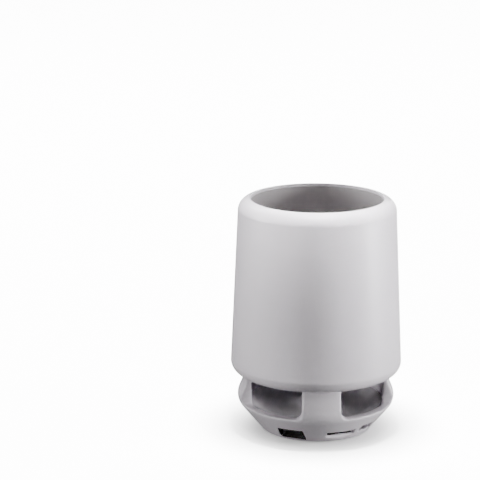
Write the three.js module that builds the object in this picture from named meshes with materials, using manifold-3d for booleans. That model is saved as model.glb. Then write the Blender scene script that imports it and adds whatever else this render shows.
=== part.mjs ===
// A pen stand with a loudspeaker in its base. Its tapered cup has a deep rounded lip and a grey well.
// It stands on a bowl with two windows at the front, where a dish throws out the loudspeaker's sound.
// Millimetres, +Z up. The origin is on the desk under the middle, and the front pillar of the bowl faces -Y.
import * as THREE from 'three';
import { mergeVertices } from 'three/addons/utils/BufferGeometryUtils.js';
import Module from 'manifold-3d';

const wasm = await Module();
wasm.setup();

// Clearances
const fit = 0.3; // round a piece in its hole
const seat = 0.2; // between two faces that rest on each other
const solder = 0.1; // between a component and the board under it

// Cup
const cupTopRadius = 39.1; // outside, under the lip
const cupWideRadius = 42.5; // outside, above the underside
const cupTopHeight = 117.4;
const cupUnderside = 29.5;
const lipRound = 6.4;
const lipDepth = 1.4; // straight part of the lip's inner edge
const lipTaper = 2; // down the inside, from over the liner to the wall
const undersideRound = 5.5;
const cupWall = 2.4;
const cupFloor = 2.2;
const floorStep = 5.3; // from the cup's wide radius in to the edge of its floor
const soundHoleRadius = 25;

// Liner inside the cup
const linerWall = 1.5;
const linerFloor = 2;
const linerCorner = 5;
const linerRoom = 0.9; // from the driver's back to the liner's floor

// Plate that carries the driver
const baffleThickness = 2;
const baffleHoleRadius = 18.7;
const grilleThickness = 1;
const grilleHoleRadius = 1.8;
const grillePitch = 5.4;
const grilleBorder = 2.6;

// Driver, facing down
const flangeRadius = 23.2;
const flangeThickness = 1.2;
const gasketThickness = 0.8;
const gasketWidth = 1;
const basketDepth = 9.2;
const basketWall = 1;
const basketNeckRadius = 12.6;
const topPlateThickness = 2;
const topPlateRadius = 12;
const magnetRadius = 13;
const magnetBore = 7;
const magnetThickness = 4.8;
const backPlateThickness = 1.8;
const poleRadius = 4.1;
const coilGap = 0.45; // each side of the coil
const coilWall = 0.45;
const coilLength = 8.4;
const coneRadius = 15.6;
const coneDepth = 4;
const coneThickness = 0.6;
const capRadius = 6.3;
const capRise = 1.7;
const surroundRoll = 1.4;
const spiderHeight = 6.8; // above the flange's face
const spiderRipple = 0.4;
const spiderThickness = 0.35;

// Bowl
const bowlUnderside = 0.5;
const neckStep = 6; // from the cup's wide radius in to the neck
const neckStraight = 3;
const bulgeReach = 2.6; // beyond the neck
const bulgeHeight = 17.4;
const bulgeRound = 7;
const flankAngle = 40; // degrees from upright, below the bulge
const bowlWall = 2.6; // at the neck and on the flank, measured level
const sillHeight = 15;
const pillarWidth = 18.8;
const windowCorner = 3.5;
const hatchBorder = 3.85; // from the bowl's lower edge in to the opening in its underside
const hatchDepth = 1.4;
const ledgeHeight = 12.8;
const ledgeDepth = 1.6;
const ledgeWidth = 2;

// Tongues on the pillars that snap into the cup's floor
const tongueStep = 0.3; // from the neck's inner face out to the tongue's
const tongueSheet = 1.6;
const tongueSpan = 10;
const tongueRise = 1.7; // above the cup's floor
const hookReach = 0.9;

// Dish that turns the sound outwards, with the lead's tube above it and three bosses below
const dishThickness = 1.7;
const dishRimThickness = 1.5;
const dishFloorHeight = 11;
const dishFloorRadius = 21;
const dishPeak = 17.2;
const leadTubeRadius = 2;
const leadTubeBore = 1.25;
const leadInset = 3.1; // from the liner's inner face, or from just inside the neck's
const leadAngle = 167.4;
const bossRadius = 2.5;
const bossInset = 7.2; // from the hatch's edge
const bossAngles = [75, 180, -75];

// Main board
const boardUnderside = 3.5;
const boardThickness = 1.1;
const boardRoom = 0.7; // round the board in the hatch

// Sockets: directions round the axis from the front, and mouths' places beyond the hatch's edge
const usbAngle = -27.5;
const usbHeight = 4.75;
const usbWidth = 13.1;
const usbTall = 5.7;
const usbSheet = 0.35;
const usbReach = 3.6;
const usbBack = 12.8; // from the axis
const usbBlock = 4.35;
const usbTongueWidth = 11.1;
const usbTongueThickness = 1.8;
const collarSheet = 0.45;
const collarInset = 0.15; // inside the flank
const cardAngle = 19.5;
const cardWidth = 12.6;
const cardTall = 1.5;
const cardReach = 5.2;
const cardBack = 15.8; // from the axis
const cardSlotWidth = 11.2;
const cardSlotTall = 0.8;
const slitWidth = 13.4;
const slitTall = 2.1;
const scoopWidth = 15.4;
const scoopTop = 6.9;
const scoopReach = 5.8;
const chargeSpace = 0.55; // beside the card socket
const chargeWidth = 7.5;
const chargeTall = 2.6;
const chargeLength = 5;
const chargeSheet = 0.3;
const chargeReach = 4.2;
const pocketWidth = 9.2;
const pocketLow = 2.6;
const pocketTop = 8.2;
const pocketReach = 6.6;

// Controls at the back
const controlHeight = 6.6;
const buttonNames = ['volume_down_button', 'play_button', 'volume_up_button'];
const buttonSpacing = 10.707; // sideways from the middle button's switch to the others'
const buttonWidth = 6.4;
const buttonTall = 3.2;
const buttonProud = 0.7;
const buttonTravel = 0.5;
const buttonFlange = 0.7; // wider than the cap on each side
const buttonFlangeThickness = 0.8;
const buttonFlangeReach = 3.9; // beyond the hatch's edge
const buttonStemWidth = 3;
const buttonStemTall = 2;
const tactWidth = 4.5;
const tactDepth = 3.2;
const tactTall = 3.5;
const tactOverhang = 0.3; // beyond the board's edge
const plungerRadius = 0.9;
const plungerLength = 0.7;
const plungerRest = 0.1; // left to the plunger with the button down
const switchTurn = 25; // degrees on from the button beside it
const switchWidth = 8.6;
const switchDepth = 3.4;
const switchTall = 3.4;
const edgeInset = 0.1; // from the board's edge in to the faces of the switch and the lamp
const knobTravel = 2.2;
const knobWidth = 2.2;
const knobTall = 1.8;
const padWidth = 3.6;
const padTall = 3.2;
const padProud = 1.3;
const lampTurn = 19; // degrees on from the button beside it
const lampWidth = 3;
const lampDepth = 2;
const lampTall = 2.9;
const pipeRadius = 1.1;

// Battery and components on the board
const batteryThickness = 4.6;
const batteryRound = 2;
const batteryGap = 1.4; // from the bosses
const batteryFront = 2.83; // from the large socket's inner corner
const bluetoothChip = { width: 4, length: 4, tall: 0.9, x: -7.3, inset: 7.9 };
const amplifierChip = { width: 5, length: 4.4, tall: 1.2, y: 5.6, inset: 6.9 };
const chargerChip = { width: 3, length: 3, tall: 0.9, y: 1, inset: 4.9 };
const inductor = { width: 3.6, length: 3.6, tall: 2.4, y: 4.2, inset: 6.9 };
const connectorWidth = 3;
const connectorDepth = 2.5;
const connectorTall = 3.2;
const connectorInset = 5.2; // from the board's edge
const connectorGap = 1; // beside the rear boss
const tabAngle = 166;
const leadRadius = 0.8;

// Bottom cover, its screws and the feet
const coverThickness = 1.2;
const counterboreRadius = 2.3;
const counterboreDepth = 1;
const footRadius = 3.6;
const footRecess = 0.4;
const footInset = 4.6; // from the hatch's edge
const footAngles = [50, 130, -130, -50];

// Screws
const coverScrew = { head: 1.9, rise: 0.6, shank: 1, length: 7.2 };
const driverScrew = { head: 1.5, rise: 1.1, shank: 0.75, length: 3.9 };
const baffleScrew = { head: 2.2, rise: 1.5, shank: 1.2, length: 4.4 };
const driverScrewCircle = 21.4;
const baffleScrewGap = 0.5; // from the screw's head to the liner

// Facets
const aroundLarge = 48;
const aroundMedium = 24;
const aroundFoot = 20;
const aroundSmall = 12;
const aroundScrew = 10;
const aroundHole = 7;

// Heights that follow from the sizes above
const cupFloorTop = cupUnderside + cupFloor;
const lipRadius = cupTopRadius - lipRound;
const baffleBottom = cupFloorTop + seat;
const baffleTop = baffleBottom + baffleThickness;
const gasketBottom = baffleTop + seat;
const driverBase = gasketBottom + gasketThickness + seat;
const topPlateBottom = basketDepth + seat;
const magnetBottom = topPlateBottom + topPlateThickness + seat;
const backPlateBottom = magnetBottom + magnetThickness + seat;
const driverTop = driverBase + backPlateBottom + backPlateThickness;
const linerInside = lipRadius;
const linerRadius = linerInside + linerWall;
const linerFloorBottom = driverTop + linerRoom;
const linerFloorTop = linerFloorBottom + linerFloor;
const linerTop = cupTopHeight - lipDepth - seat;
const floorRadius = cupWideRadius - floorStep;
const baffleRadius = Math.min(linerRadius, floorRadius - 1);
const pillarTop = cupUnderside - seat;
const boardTop = boardUnderside + boardThickness;
const coverTop = bowlUnderside + coverThickness;
const componentBottom = boardTop + solder;
const bossBottom = boardTop + seat;

const radians = THREE.MathUtils.degToRad;
const degrees = THREE.MathUtils.radToDeg;

// Outside radius of the bowl at a height
const neckRadius = cupWideRadius - neckStep;
const neckInside = neckRadius - bowlWall;
const bulgeRadius = neckRadius + bulgeReach;
const farOut = bulgeRadius + 8;
const flankTopHeight = bulgeHeight - bulgeRound * Math.sin(radians(flankAngle));
const flankTopRadius = bulgeRadius - bulgeRound * (1 - Math.cos(radians(flankAngle)));
const neckHeight = cupUnderside - neckStraight;

function bowlRadius(height) {
  if (height <= flankTopHeight) {
    return flankTopRadius - (flankTopHeight - height) * Math.tan(radians(flankAngle));
  }
  if (height <= bulgeHeight) {
    return bulgeRadius - bulgeRound + Math.sqrt(bulgeRound ** 2 - (bulgeHeight - height) ** 2);
  }
  const rise = Math.max(0, (neckHeight - height) / (neckHeight - bulgeHeight));
  return neckRadius + (bulgeRadius - neckRadius) * rise * rise * (3 - 2 * rise);
}

// Places from the axis that follow from the bowl and the cup
const hatchRadius = bowlRadius(bowlUnderside) - hatchBorder;
const boardRadius = hatchRadius - boardRoom;
const bossCircle = hatchRadius - bossInset;
const footCircle = hatchRadius - footInset;
const usbMouth = hatchRadius + usbReach;
const cardMouth = hatchRadius + cardReach;
const scoopFace = hatchRadius + scoopReach;
const chargeMouth = hatchRadius + chargeReach;
const pocketFace = hatchRadius + pocketReach;
const buttonFlangeFace = hatchRadius + buttonFlangeReach;
const tactFace = boardRadius + tactOverhang;
const switchFace = boardRadius - edgeInset;
const lampFace = boardRadius - edgeInset;
const tongueInside = neckInside + tongueStep;
const baffleScrewCircle = linerInside - baffleScrew.head - baffleScrewGap;
const leadCircle = Math.min(linerInside, neckInside - 1.2) - leadInset;
const connectorCircle = boardRadius - connectorInset;

// Directions that keep pieces on the board beside each other
const buttonSpread = degrees(Math.asin(buttonSpacing / tactFace));
const buttonAngles = [180 - buttonSpread, 180, 180 + buttonSpread];
const switchAngle = buttonSpread + switchTurn - 180;
const lampAngle = 180 - buttonSpread - lampTurn;
const chargeBack = chargeMouth - chargeLength;
const chargeAngle = cardAngle + degrees(Math.atan(chargeWidth / 2 / chargeBack))
  + degrees(Math.asin((cardWidth / 2 + chargeSpace) / Math.hypot(chargeBack, chargeWidth / 2)));
const connectorAside = bossRadius + connectorGap + connectorWidth / 2;
const connectorAngle = 180 - degrees(Math.asin(connectorAside / connectorCircle));

// Heights at which the bowl's profile has its points
function bowlHeights(from, to) {
  const marks = [from];
  for (let i = 0; i <= 3; i += 1) {
    marks.push(bulgeHeight - bulgeRound * Math.sin(radians((flankAngle * (3 - i)) / 3)));
  }
  for (let i = 1; i <= 4; i += 1) {
    marks.push(bulgeHeight + ((neckHeight - bulgeHeight) * i) / 4);
  }
  marks.push(to);
  return marks.filter((height) => height >= from && height <= to);
}

// A geometry with shared vertices, no slivers and its faces pointing out
function closed(geometry) {
  const bare = new THREE.BufferGeometry();
  bare.setAttribute('position', geometry.attributes.position.clone());
  if (geometry.index) bare.setIndex(geometry.index.clone());
  const merged = mergeVertices(bare, 1e-4);
  const points = merged.attributes.position.array;
  const source = merged.index.array;
  const index = [];
  let volume = 0;
  const corner = (i) => new THREE.Vector3(points[3 * i], points[3 * i + 1], points[3 * i + 2]);
  for (let i = 0; i < source.length; i += 3) {
    const [a, b, c] = [source[i], source[i + 1], source[i + 2]];
    if (a !== b && b !== c && c !== a) {
      index.push(a, b, c);
      volume += corner(a).dot(corner(b).cross(corner(c)));
    }
  }
  if (volume < 0) index.reverse();
  merged.setIndex(index);
  return merged;
}

function solid(geometry) {
  const merged = closed(geometry);
  return new wasm.Manifold(
    new wasm.Mesh({
      numProp: 3,
      vertProperties: new Float32Array(merged.attributes.position.array),
      triVerts: new Uint32Array(merged.index.array),
    }),
  );
}

function surface(body) {
  const mesh = body.getMesh();
  const geometry = new THREE.BufferGeometry();
  geometry.setAttribute('position', new THREE.BufferAttribute(mesh.vertProperties, 3));
  geometry.setIndex(new THREE.BufferAttribute(mesh.triVerts, 1));
  return geometry;
}

// A solid of revolution round Z from pairs of radius and height
function turned(profile, around = aroundLarge) {
  const points = profile.map(([radius, height]) => new THREE.Vector2(radius, height));
  return new THREE.LatheGeometry(points, around).rotateX(Math.PI / 2);
}

// A ring from a profile that closes on itself
function ring(profile, around = aroundLarge) {
  return turned([...profile, profile[0]], around);
}

function tube(outer, inner, from, to, around = aroundLarge) {
  return ring([[inner, from], [outer, from], [outer, to], [inner, to]], around);
}

function disc(radius, from, to, around = aroundLarge) {
  return turned([[0, from], [radius, from], [radius, to], [0, to]], around);
}

function box(width, depth, tall) {
  return new THREE.BoxGeometry(width, depth, tall);
}

// Points on a quarter of a circle, from one angle to another in degrees
function arc(x, y, radius, from, to, steps) {
  const points = [];
  for (let i = 0; i <= steps; i += 1) {
    const angle = radians(from + ((to - from) * i) / steps);
    points.push([x + radius * Math.cos(angle), y + radius * Math.sin(angle)]);
  }
  return points;
}

// An outline seen from the front, run outwards from one distance from the axis to another
function outward(shape, from, to, curveSegments = 4) {
  const geometry = new THREE.ExtrudeGeometry(shape, { depth: to - from, bevelEnabled: false, curveSegments });
  return geometry.rotateX(Math.PI / 2).translate(0, -from, 0);
}

function rectangle(width, low, high) {
  const shape = new THREE.Shape();
  shape.moveTo(-width / 2, low);
  shape.lineTo(width / 2, low);
  shape.lineTo(width / 2, high);
  shape.lineTo(-width / 2, high);
  shape.closePath();
  return shape;
}

function stadium(width, tall, height) {
  const shape = new THREE.Shape();
  const round = tall / 2;
  shape.absarc(width / 2 - round, height, round, -Math.PI / 2, Math.PI / 2, false);
  shape.absarc(round - width / 2, height, round, Math.PI / 2, (3 * Math.PI) / 2, false);
  shape.closePath();
  return shape;
}

function circle(radius, height = 0) {
  const shape = new THREE.Shape();
  shape.absarc(0, height, radius, 0, 2 * Math.PI, false);
  return shape;
}

// A piece made at the front, turned round the axis
function turnedTo(geometry, angle) {
  return geometry.clone().rotateZ(radians(angle));
}

// A piece made on the axis, moved out and then turned round the axis
function outAt(geometry, distance, angle) {
  return geometry.clone().translate(0, -distance, 0).rotateZ(radians(angle));
}

function cut(body, geometries) {
  return geometries.reduce((left, geometry) => left.subtract(solid(geometry)), body);
}

function join(body, geometries) {
  return geometries.reduce((left, geometry) => left.add(solid(geometry)), body);
}

const penStand = new THREE.Group();

function add(name, geometry, look, parent = penStand) {
  const mesh = new THREE.Mesh(closed(geometry), new THREE.MeshStandardMaterial({ metalness: 0, ...look }));
  mesh.name = name;
  parent.add(mesh);
  return mesh;
}

function groupAt({ height = 0, angle = 0 } = {}, parent = penStand) {
  const group = new THREE.Group();
  group.position.z = height;
  group.rotation.z = radians(angle);
  parent.add(group);
  return group;
}

// Looks
const white = { color: 0xe6e3e8, roughness: 0.42 };
const palerGrey = { color: 0xc4c1c5, roughness: 0.45 };
const grey = { color: 0x969398, roughness: 0.5 };
const black = { color: 0x151517, roughness: 0.6 };
const rubber = { color: 0x2a2a2c, roughness: 0.9 };
const steel = { color: 0xb9bbbf, roughness: 0.3, metalness: 1 };
const tin = { color: 0xc6c7ca, roughness: 0.35, metalness: 1 };
const ferrite = { color: 0x2c2c30, roughness: 0.7 };
const copper = { color: 0xb8743c, roughness: 0.4, metalness: 1 };
const paper = { color: 0x24242a, roughness: 0.8 };
const boardLook = { color: 0x1d5a35, roughness: 0.5 };
const foil = { color: 0xb7bcc4, roughness: 0.4 };
const clear = { color: 0xeef2f5, roughness: 0.15 };

// A screw with its head above its own origin and a cross recess
function screw({ head, rise, shank, length }) {
  const tip = shank * 0.6;
  const body = solid(
    turned(
      [[0, -length], [tip, -length], [shank, -length + shank], [shank, 0], [head, 0], [head, rise * 0.5],
        [head * 0.7, rise], [0, rise]],
      aroundScrew,
    ),
  );
  const arm = head * 1.1;
  const blade = head * 0.24;
  const depth = rise * 0.6;
  const place = (geometry) => geometry.translate(0, 0, rise);
  return surface(cut(body, [place(box(arm, blade, 2 * depth)), place(box(blade, arm, 2 * depth))]));
}

// Cup shell: tapered wall and rounded lip, open at the bottom
{
  const lipStart = cupTopHeight - lipRound;
  const roundMiddle = cupWideRadius - undersideRound;
  const mouth = floorRadius + fit;
  const start = -degrees(Math.acos((mouth - roundMiddle) / undersideRound));
  add(
    'cup_shell',
    ring([
      ...arc(roundMiddle, cupUnderside + undersideRound, undersideRound, start, 0, 4),
      ...arc(cupTopRadius - lipRound, lipStart, lipRound, 0, 90, 6),
      [lipRadius, cupTopHeight - lipDepth],
      [linerRadius + 0.6, cupTopHeight - lipDepth],
      [cupTopRadius - cupWall, cupTopHeight - lipDepth - lipTaper],
      [cupWideRadius - cupWall, cupUnderside + undersideRound + 1],
      [cupWideRadius - cupWall - 0.6, cupFloorTop + 2.2],
      [mouth, cupFloorTop + 0.6],
    ]),
    white,
  );
}

// Cup floor, bonded into the shell, which sits on the pillars
{
  const leadHole = disc(leadTubeBore, cupUnderside - 1, cupFloorTop + 1, aroundSmall);
  const holes = [outAt(leadHole, leadCircle, leadAngle)];
  const slot = rectangle(tongueSpan + 2 * fit, cupUnderside - 1, cupFloorTop + 1);
  for (let i = 0; i < 4; i += 1) {
    const pilot = disc(baffleScrew.shank + fit, cupUnderside - 1, cupFloorTop + 1, aroundSmall);
    holes.push(outAt(pilot, baffleScrewCircle, 45 + 90 * i));
    holes.push(turnedTo(outward(slot, tongueInside - fit, tongueInside + tongueSheet + fit), 90 * i));
  }
  const plate = tube(floorRadius, soundHoleRadius, cupUnderside, cupFloorTop);
  add('cup_floor', surface(cut(solid(plate), holes)), white);
}

// Liner: the well inside the cup, between the baffle and the lip's underside
add(
  'pen_cup_liner',
  turned([
    [0, linerFloorTop],
    ...arc(linerInside - linerCorner, linerFloorTop + linerCorner, linerCorner, -90, 0, 3),
    [linerInside, linerTop],
    [linerRadius, linerTop],
    [linerRadius, baffleTop + seat],
    [linerInside, baffleTop + seat],
    [linerInside, linerFloorBottom],
    [0, linerFloorBottom],
  ]),
  grey,
);

// Baffle with the driver's hole, the screws' holes, the lead's hole and notches for the tongues
{
  const holes = [];
  const notch = rectangle(tongueSpan + 2 * fit, baffleBottom - 1, baffleTop + 1);
  for (let i = 0; i < 4; i += 1) {
    const through = (radius) => disc(radius, baffleBottom - 1, baffleTop + 1, aroundSmall);
    holes.push(outAt(through(baffleScrew.shank + fit), baffleScrewCircle, 45 + 90 * i));
    holes.push(outAt(through(driverScrew.shank + fit), driverScrewCircle, 90 * i));
    holes.push(turnedTo(outward(notch, tongueInside - hookReach - fit, farOut), 90 * i));
  }
  holes.push(outAt(disc(leadTubeBore, baffleBottom - 1, baffleTop + 1, aroundSmall), leadCircle, leadAngle));
  const plate = tube(baffleRadius, baffleHoleRadius, baffleBottom, baffleTop);
  add('baffle_plate', surface(cut(solid(plate), holes)), black);
}

// Grille under the baffle: a flat plate with rows of round holes
{
  const grilleRadius = soundHoleRadius - fit;
  const top = baffleBottom - seat;
  const rows = Math.ceil(grilleRadius / (grillePitch * 0.866));
  const holes = [];
  for (let row = -rows; row <= rows; row += 1) {
    const y = row * grillePitch * 0.866;
    const shift = Math.abs(row % 2) * 0.5;
    for (let column = -rows; column <= rows; column += 1) {
      const x = (column + shift) * grillePitch;
      if (Math.hypot(x, y) < grilleRadius - grilleBorder - grilleHoleRadius) {
        holes.push(disc(grilleHoleRadius, top - grilleThickness - 1, top + 1, aroundHole).translate(x, y, 0));
      }
    }
  }
  const sheet = cut(solid(disc(grilleRadius, top - grilleThickness, top)), holes);
  add('speaker_grille', surface(sheet), black);
}

// Driver, in a group of its own with the flange's lower face at its origin
{
  const driver = groupAt({ height: driverBase });
  const inner = baffleHoleRadius + fit;
  const coilInside = poleRadius + coilGap;
  const coilOutside = coilInside + coilWall;
  const gapRadius = coilOutside + coilGap;

  const shoulder = inner + basketWall;
  const frame = solid(
    ring(
      [[inner, 0], [flangeRadius, 0], [flangeRadius, flangeThickness], [shoulder, flangeThickness],
        [basketNeckRadius, basketDepth - basketWall], [basketNeckRadius, basketDepth],
        [gapRadius + 1, basketDepth], [gapRadius + 1, basketDepth - basketWall],
        [basketNeckRadius - basketWall, basketDepth - basketWall], [inner, flangeThickness]],
      aroundMedium,
    ),
  );
  const openings = [];
  for (let i = 0; i < 4; i += 1) {
    const port = rectangle(9, flangeThickness + 1.2, basketDepth - basketWall - 1.2);
    openings.push(turnedTo(outward(port, basketNeckRadius - 2, flangeRadius), 45 + 90 * i));
    openings.push(
      outAt(disc(driverScrew.shank + fit, -1, flangeThickness + 1, aroundSmall), driverScrewCircle, 90 * i));
  }
  const tab = turnedTo(outward(rectangle(3.4, 3.2, 4.8), basketNeckRadius + 3, flangeRadius - 2.4), tabAngle);
  add('driver_basket', surface(join(cut(frame, openings), [tab])), steel, driver);
  const gasket = tube(inner + gasketWidth, inner, -seat - gasketThickness, -seat, aroundMedium);
  add('driver_gasket', gasket, rubber, driver);
  const plateTop = topPlateBottom + topPlateThickness;
  const topPlate = tube(topPlateRadius, gapRadius, topPlateBottom, plateTop, aroundMedium);
  add('driver_top_plate', topPlate, steel, driver);
  const magnetTop = magnetBottom + magnetThickness;
  const magnet = tube(magnetRadius, magnetBore, magnetBottom, magnetTop, aroundMedium);
  add('driver_magnet', magnet, ferrite, driver);
  add(
    'driver_yoke',
    turned(
      [[0, topPlateBottom], [poleRadius, topPlateBottom], [poleRadius, backPlateBottom],
        [topPlateRadius, backPlateBottom], [topPlateRadius, backPlateBottom + backPlateThickness],
        [0, backPlateBottom + backPlateThickness]],
      aroundMedium,
    ),
    steel,
    driver,
  );

  const coneTop = 1 + coneDepth;
  const coneNeck = coilOutside + fit;
  const coilFoot = coneTop - 0.6;
  const coil = tube(coilOutside, coilInside, coilFoot, coilFoot + coilLength, aroundMedium);
  add('driver_voice_coil', coil, copper, driver);
  add(
    'driver_cone',
    ring([
      [coneNeck, coneTop],
      [coneRadius, 1],
      [coneRadius, 1 + coneThickness],
      [coneNeck, coneTop + coneThickness],
    ], aroundMedium),
    paper,
    driver,
  );
  const slope = coneDepth / (coneRadius - coneNeck);
  const capEdge = coneTop - (capRadius - coneNeck) * slope - fit;
  add(
    'driver_dust_cap',
    turned(
      [
        [0, capEdge - capRise],
        [capRadius * 0.5, capEdge - capRise * 0.78],
        [capRadius * 0.85, capEdge - capRise * 0.3],
        [capRadius, capEdge - 0.1],
        [capRadius - 0.5, capEdge],
        [capRadius * 0.5, capEdge - capRise * 0.5],
        [0, capEdge - capRise * 0.7],
      ],
      aroundMedium,
    ),
    paper,
    driver,
  );
  const rollInside = coneRadius + fit;
  const rollMiddle = (rollInside + baffleHoleRadius) / 2;
  const rollHalf = (baffleHoleRadius - rollInside) / 2;
  const roll = (scale) => [-1, -0.7, 0, 0.7, 1].map((share) => [
    rollMiddle + rollHalf * share * (scale < 1 ? 0.8 : 1),
    1 - surroundRoll * scale * Math.sqrt(1 - share * share)]);
  const rollUnder = roll(0.6).reverse().map(([r, z]) => [r, z + 0.3]);
  add('driver_surround', ring([...roll(1), ...rollUnder], aroundMedium), rubber, driver);
  const spiderTop = spiderHeight + spiderThickness;
  const wallShare = (spiderTop - flangeThickness) / (basketDepth - basketWall - flangeThickness);
  const spiderRadius = inner + (basketNeckRadius - basketWall - inner) * wallShare - fit;
  const ripple = [0, 1, 2, 3, 4, 5, 6].map((i) => [
    coneNeck + ((spiderRadius - coneNeck) * i) / 6, spiderHeight + (i % 2 ? spiderRipple : 0)]);
  const rippleTop = ripple.map(([r, z]) => [r, z + spiderThickness]).reverse();
  const spider = ring([...ripple, ...rippleTop], aroundMedium);
  add('driver_spider', spider, { color: 0xc9a35a, roughness: 0.9 }, driver);

  for (let i = 0; i < 4; i += 1) {
    const place = groupAt({ height: flangeThickness + seat, angle: 90 * i }, driver);
    const mesh = add(`driver_screw_${i + 1}`, screw(driverScrew), steel, place);
    mesh.position.y = -driverScrewCircle;
  }
}

// Screws through the baffle into the cup's floor
for (let i = 0; i < 4; i += 1) {
  const place = groupAt({ height: baffleTop + seat, angle: 45 + 90 * i });
  const mesh = add(`baffle_screw_${i + 1}`, screw(baffleScrew), steel, place);
  mesh.position.y = -baffleScrewCircle;
}

// Bowl with its windows, ledge and holes
function bowlSolid(extra) {
  const heights = bowlHeights(bowlUnderside, cupUnderside);
  return solid(turned([
    [0, bowlUnderside - extra],
    [bowlRadius(bowlUnderside) + extra, bowlUnderside - extra],
    ...heights.map((height) => [bowlRadius(height) + extra, height]),
    [0, cupUnderside],
  ]));
}

{
  const hatchTop = bowlUnderside + hatchDepth;
  const ledgeBottom = ledgeHeight - ledgeDepth;
  const ledgeInside = neckInside - ledgeWidth;
  const outside = bowlHeights(bowlUnderside, pillarTop).map((height) => [bowlRadius(height), height]);
  const insideAt = (height) => [bowlRadius(height) - bowlWall, height];
  const profile = [
    ...outside,
    [neckInside, pillarTop],
    [neckInside, ledgeHeight],
    [ledgeInside, ledgeHeight],
    [ledgeInside, ledgeBottom + 0.4],
    insideAt(ledgeBottom - 1),
    insideAt(hatchTop),
    [hatchRadius, hatchTop],
    [hatchRadius, bowlUnderside],
  ];

  // One window: an upright box with its two lower inner edges rounded
  const half = pillarWidth / 2;
  const side = new THREE.Shape();
  side.moveTo(half + windowCorner, sillHeight);
  side.lineTo(farOut, sillHeight);
  side.lineTo(farOut, cupUnderside + 5);
  side.lineTo(half, cupUnderside + 5);
  side.lineTo(half, sillHeight + windowCorner);
  side.absarc(half + windowCorner, sillHeight + windowCorner, windowCorner, Math.PI, 1.5 * Math.PI, false);
  const first = outward(side, half, farOut, 6);
  const swap = new THREE.Matrix4().set(0, -1, 0, 0, -1, 0, 0, 0, 0, 0, 1, 0, 0, 0, 0, 1);
  const window = surface(solid(first).intersect(solid(first.clone().applyMatrix4(swap))));
  const windows = [0, 270].map((angle) => turnedTo(window, angle));

  const usbHole = rectangle(usbWidth + 2 * fit, usbHeight - usbTall / 2 - fit, usbHeight + usbTall / 2 + fit);
  const slitMiddle = componentBottom + cardTall / 2;
  const slit = rectangle(slitWidth, slitMiddle - slitTall / 2, slitMiddle + slitTall / 2);
  const scoop = rectangle(scoopWidth, bowlUnderside + 1, scoopTop);
  const chargeMiddle = componentBottom + chargeTall / 2;
  const ports = [
    turnedTo(outward(usbHole, hatchRadius - 1.5, farOut), usbAngle),
    turnedTo(outward(slit, hatchRadius, farOut), cardAngle),
    turnedTo(outward(scoop, scoopFace, farOut), cardAngle),
    turnedTo(outward(rectangle(pocketWidth, pocketLow, pocketTop), pocketFace, farOut), chargeAngle),
    turnedTo(outward(stadium(chargeWidth + 2 * fit, chargeTall + 2 * fit, chargeMiddle), hatchRadius, farOut),
      chargeAngle),
  ];
  buttonAngles.forEach((angle) => {
    const hole = stadium(buttonWidth + 2 * fit, buttonTall + 2 * fit, controlHeight);
    ports.push(turnedTo(outward(hole, hatchRadius, farOut), angle));
  });
  const track = rectangle(knobWidth + knobTravel + 2 * fit, controlHeight - knobTall / 2 - fit,
    controlHeight + knobTall / 2 + fit);
  ports.push(turnedTo(outward(track, hatchRadius, farOut), switchAngle));
  ports.push(turnedTo(outward(circle(pipeRadius + fit, controlHeight), hatchRadius, farOut), lampAngle));
  const tongue = rectangle(tongueSpan, pillarTop - 1, cupFloorTop + tongueRise);
  const hook = rectangle(tongueSpan, cupFloorTop + seat, cupFloorTop + tongueRise - 0.3);
  const tongues = [0, 90, 180, 270].flatMap((angle) => [
    turnedTo(outward(tongue, tongueInside, tongueInside + tongueSheet), angle),
    turnedTo(outward(hook, tongueInside - hookReach, tongueInside + 0.5), angle)]);
  const shell = cut(solid(ring(profile)), [...windows, ...ports]);
  add('base_bowl', surface(join(shell, tongues)), white);
}

// Dish: a shallow bowl with a peak in its middle, the lead's tube above and three bosses below
{
  const rimRadius = neckInside - fit;
  const rimBottom = ledgeHeight + seat;
  const rimTop = rimBottom + dishRimThickness;
  const hollow = dishFloorHeight;
  const top = [
    [rimRadius, rimTop], [rimRadius - 3, rimTop - 0.9], [rimRadius - 7, hollow + 0.5],
    [dishFloorRadius, hollow], [dishFloorRadius * 0.72, hollow + 0.5], [dishFloorRadius * 0.46, hollow + 2.2],
    [dishFloorRadius * 0.22, dishPeak - 1.4], [0, dishPeak],
  ];
  const ledgeInside = rimRadius + fit - ledgeWidth;
  const under = [
    [0, dishPeak - dishThickness], [dishFloorRadius * 0.22, dishPeak - 1.4 - dishThickness],
    [dishFloorRadius * 0.72, hollow + 0.5 - dishThickness], [rimRadius - 7, hollow - dishThickness],
    [ledgeInside - fit, rimBottom - 1], [ledgeInside - fit, rimBottom], [rimRadius, rimBottom],
  ];
  const leadTube = outAt(disc(leadTubeRadius, hollow - 0.5, pillarTop, aroundSmall), leadCircle, leadAngle);
  const bosses = bossAngles.map((angle) =>
    outAt(disc(bossRadius, bossBottom, hollow, aroundSmall), bossCircle, angle));
  const bores = [outAt(disc(leadTubeBore, 0, pillarTop + 1, aroundSmall), leadCircle, leadAngle)];
  bossAngles.forEach((angle) => {
    const bore = disc(coverScrew.shank + fit, bossBottom - 1, hollow - 1.2, aroundSmall);
    bores.push(outAt(bore, bossCircle, angle));
  });
  const body = join(solid(turned([...under, ...top])), [leadTube, ...bosses]);
  add('reflector_dish', surface(cut(body, bores)), palerGrey);
}

// Main board with a notch for the large socket
{
  const notch = rectangle(usbWidth + 2 * fit, boardUnderside - 1, boardTop + 1);
  const holes = bossAngles.map((angle) =>
    outAt(disc(coverScrew.shank + fit, boardUnderside - 1, boardTop + 1, aroundSmall), bossCircle, angle));
  holes.push(turnedTo(outward(notch, usbBack - fit, farOut), usbAngle));
  add('main_board', surface(cut(solid(disc(boardRadius, boardUnderside, boardTop)), holes)), boardLook);
}

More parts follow.
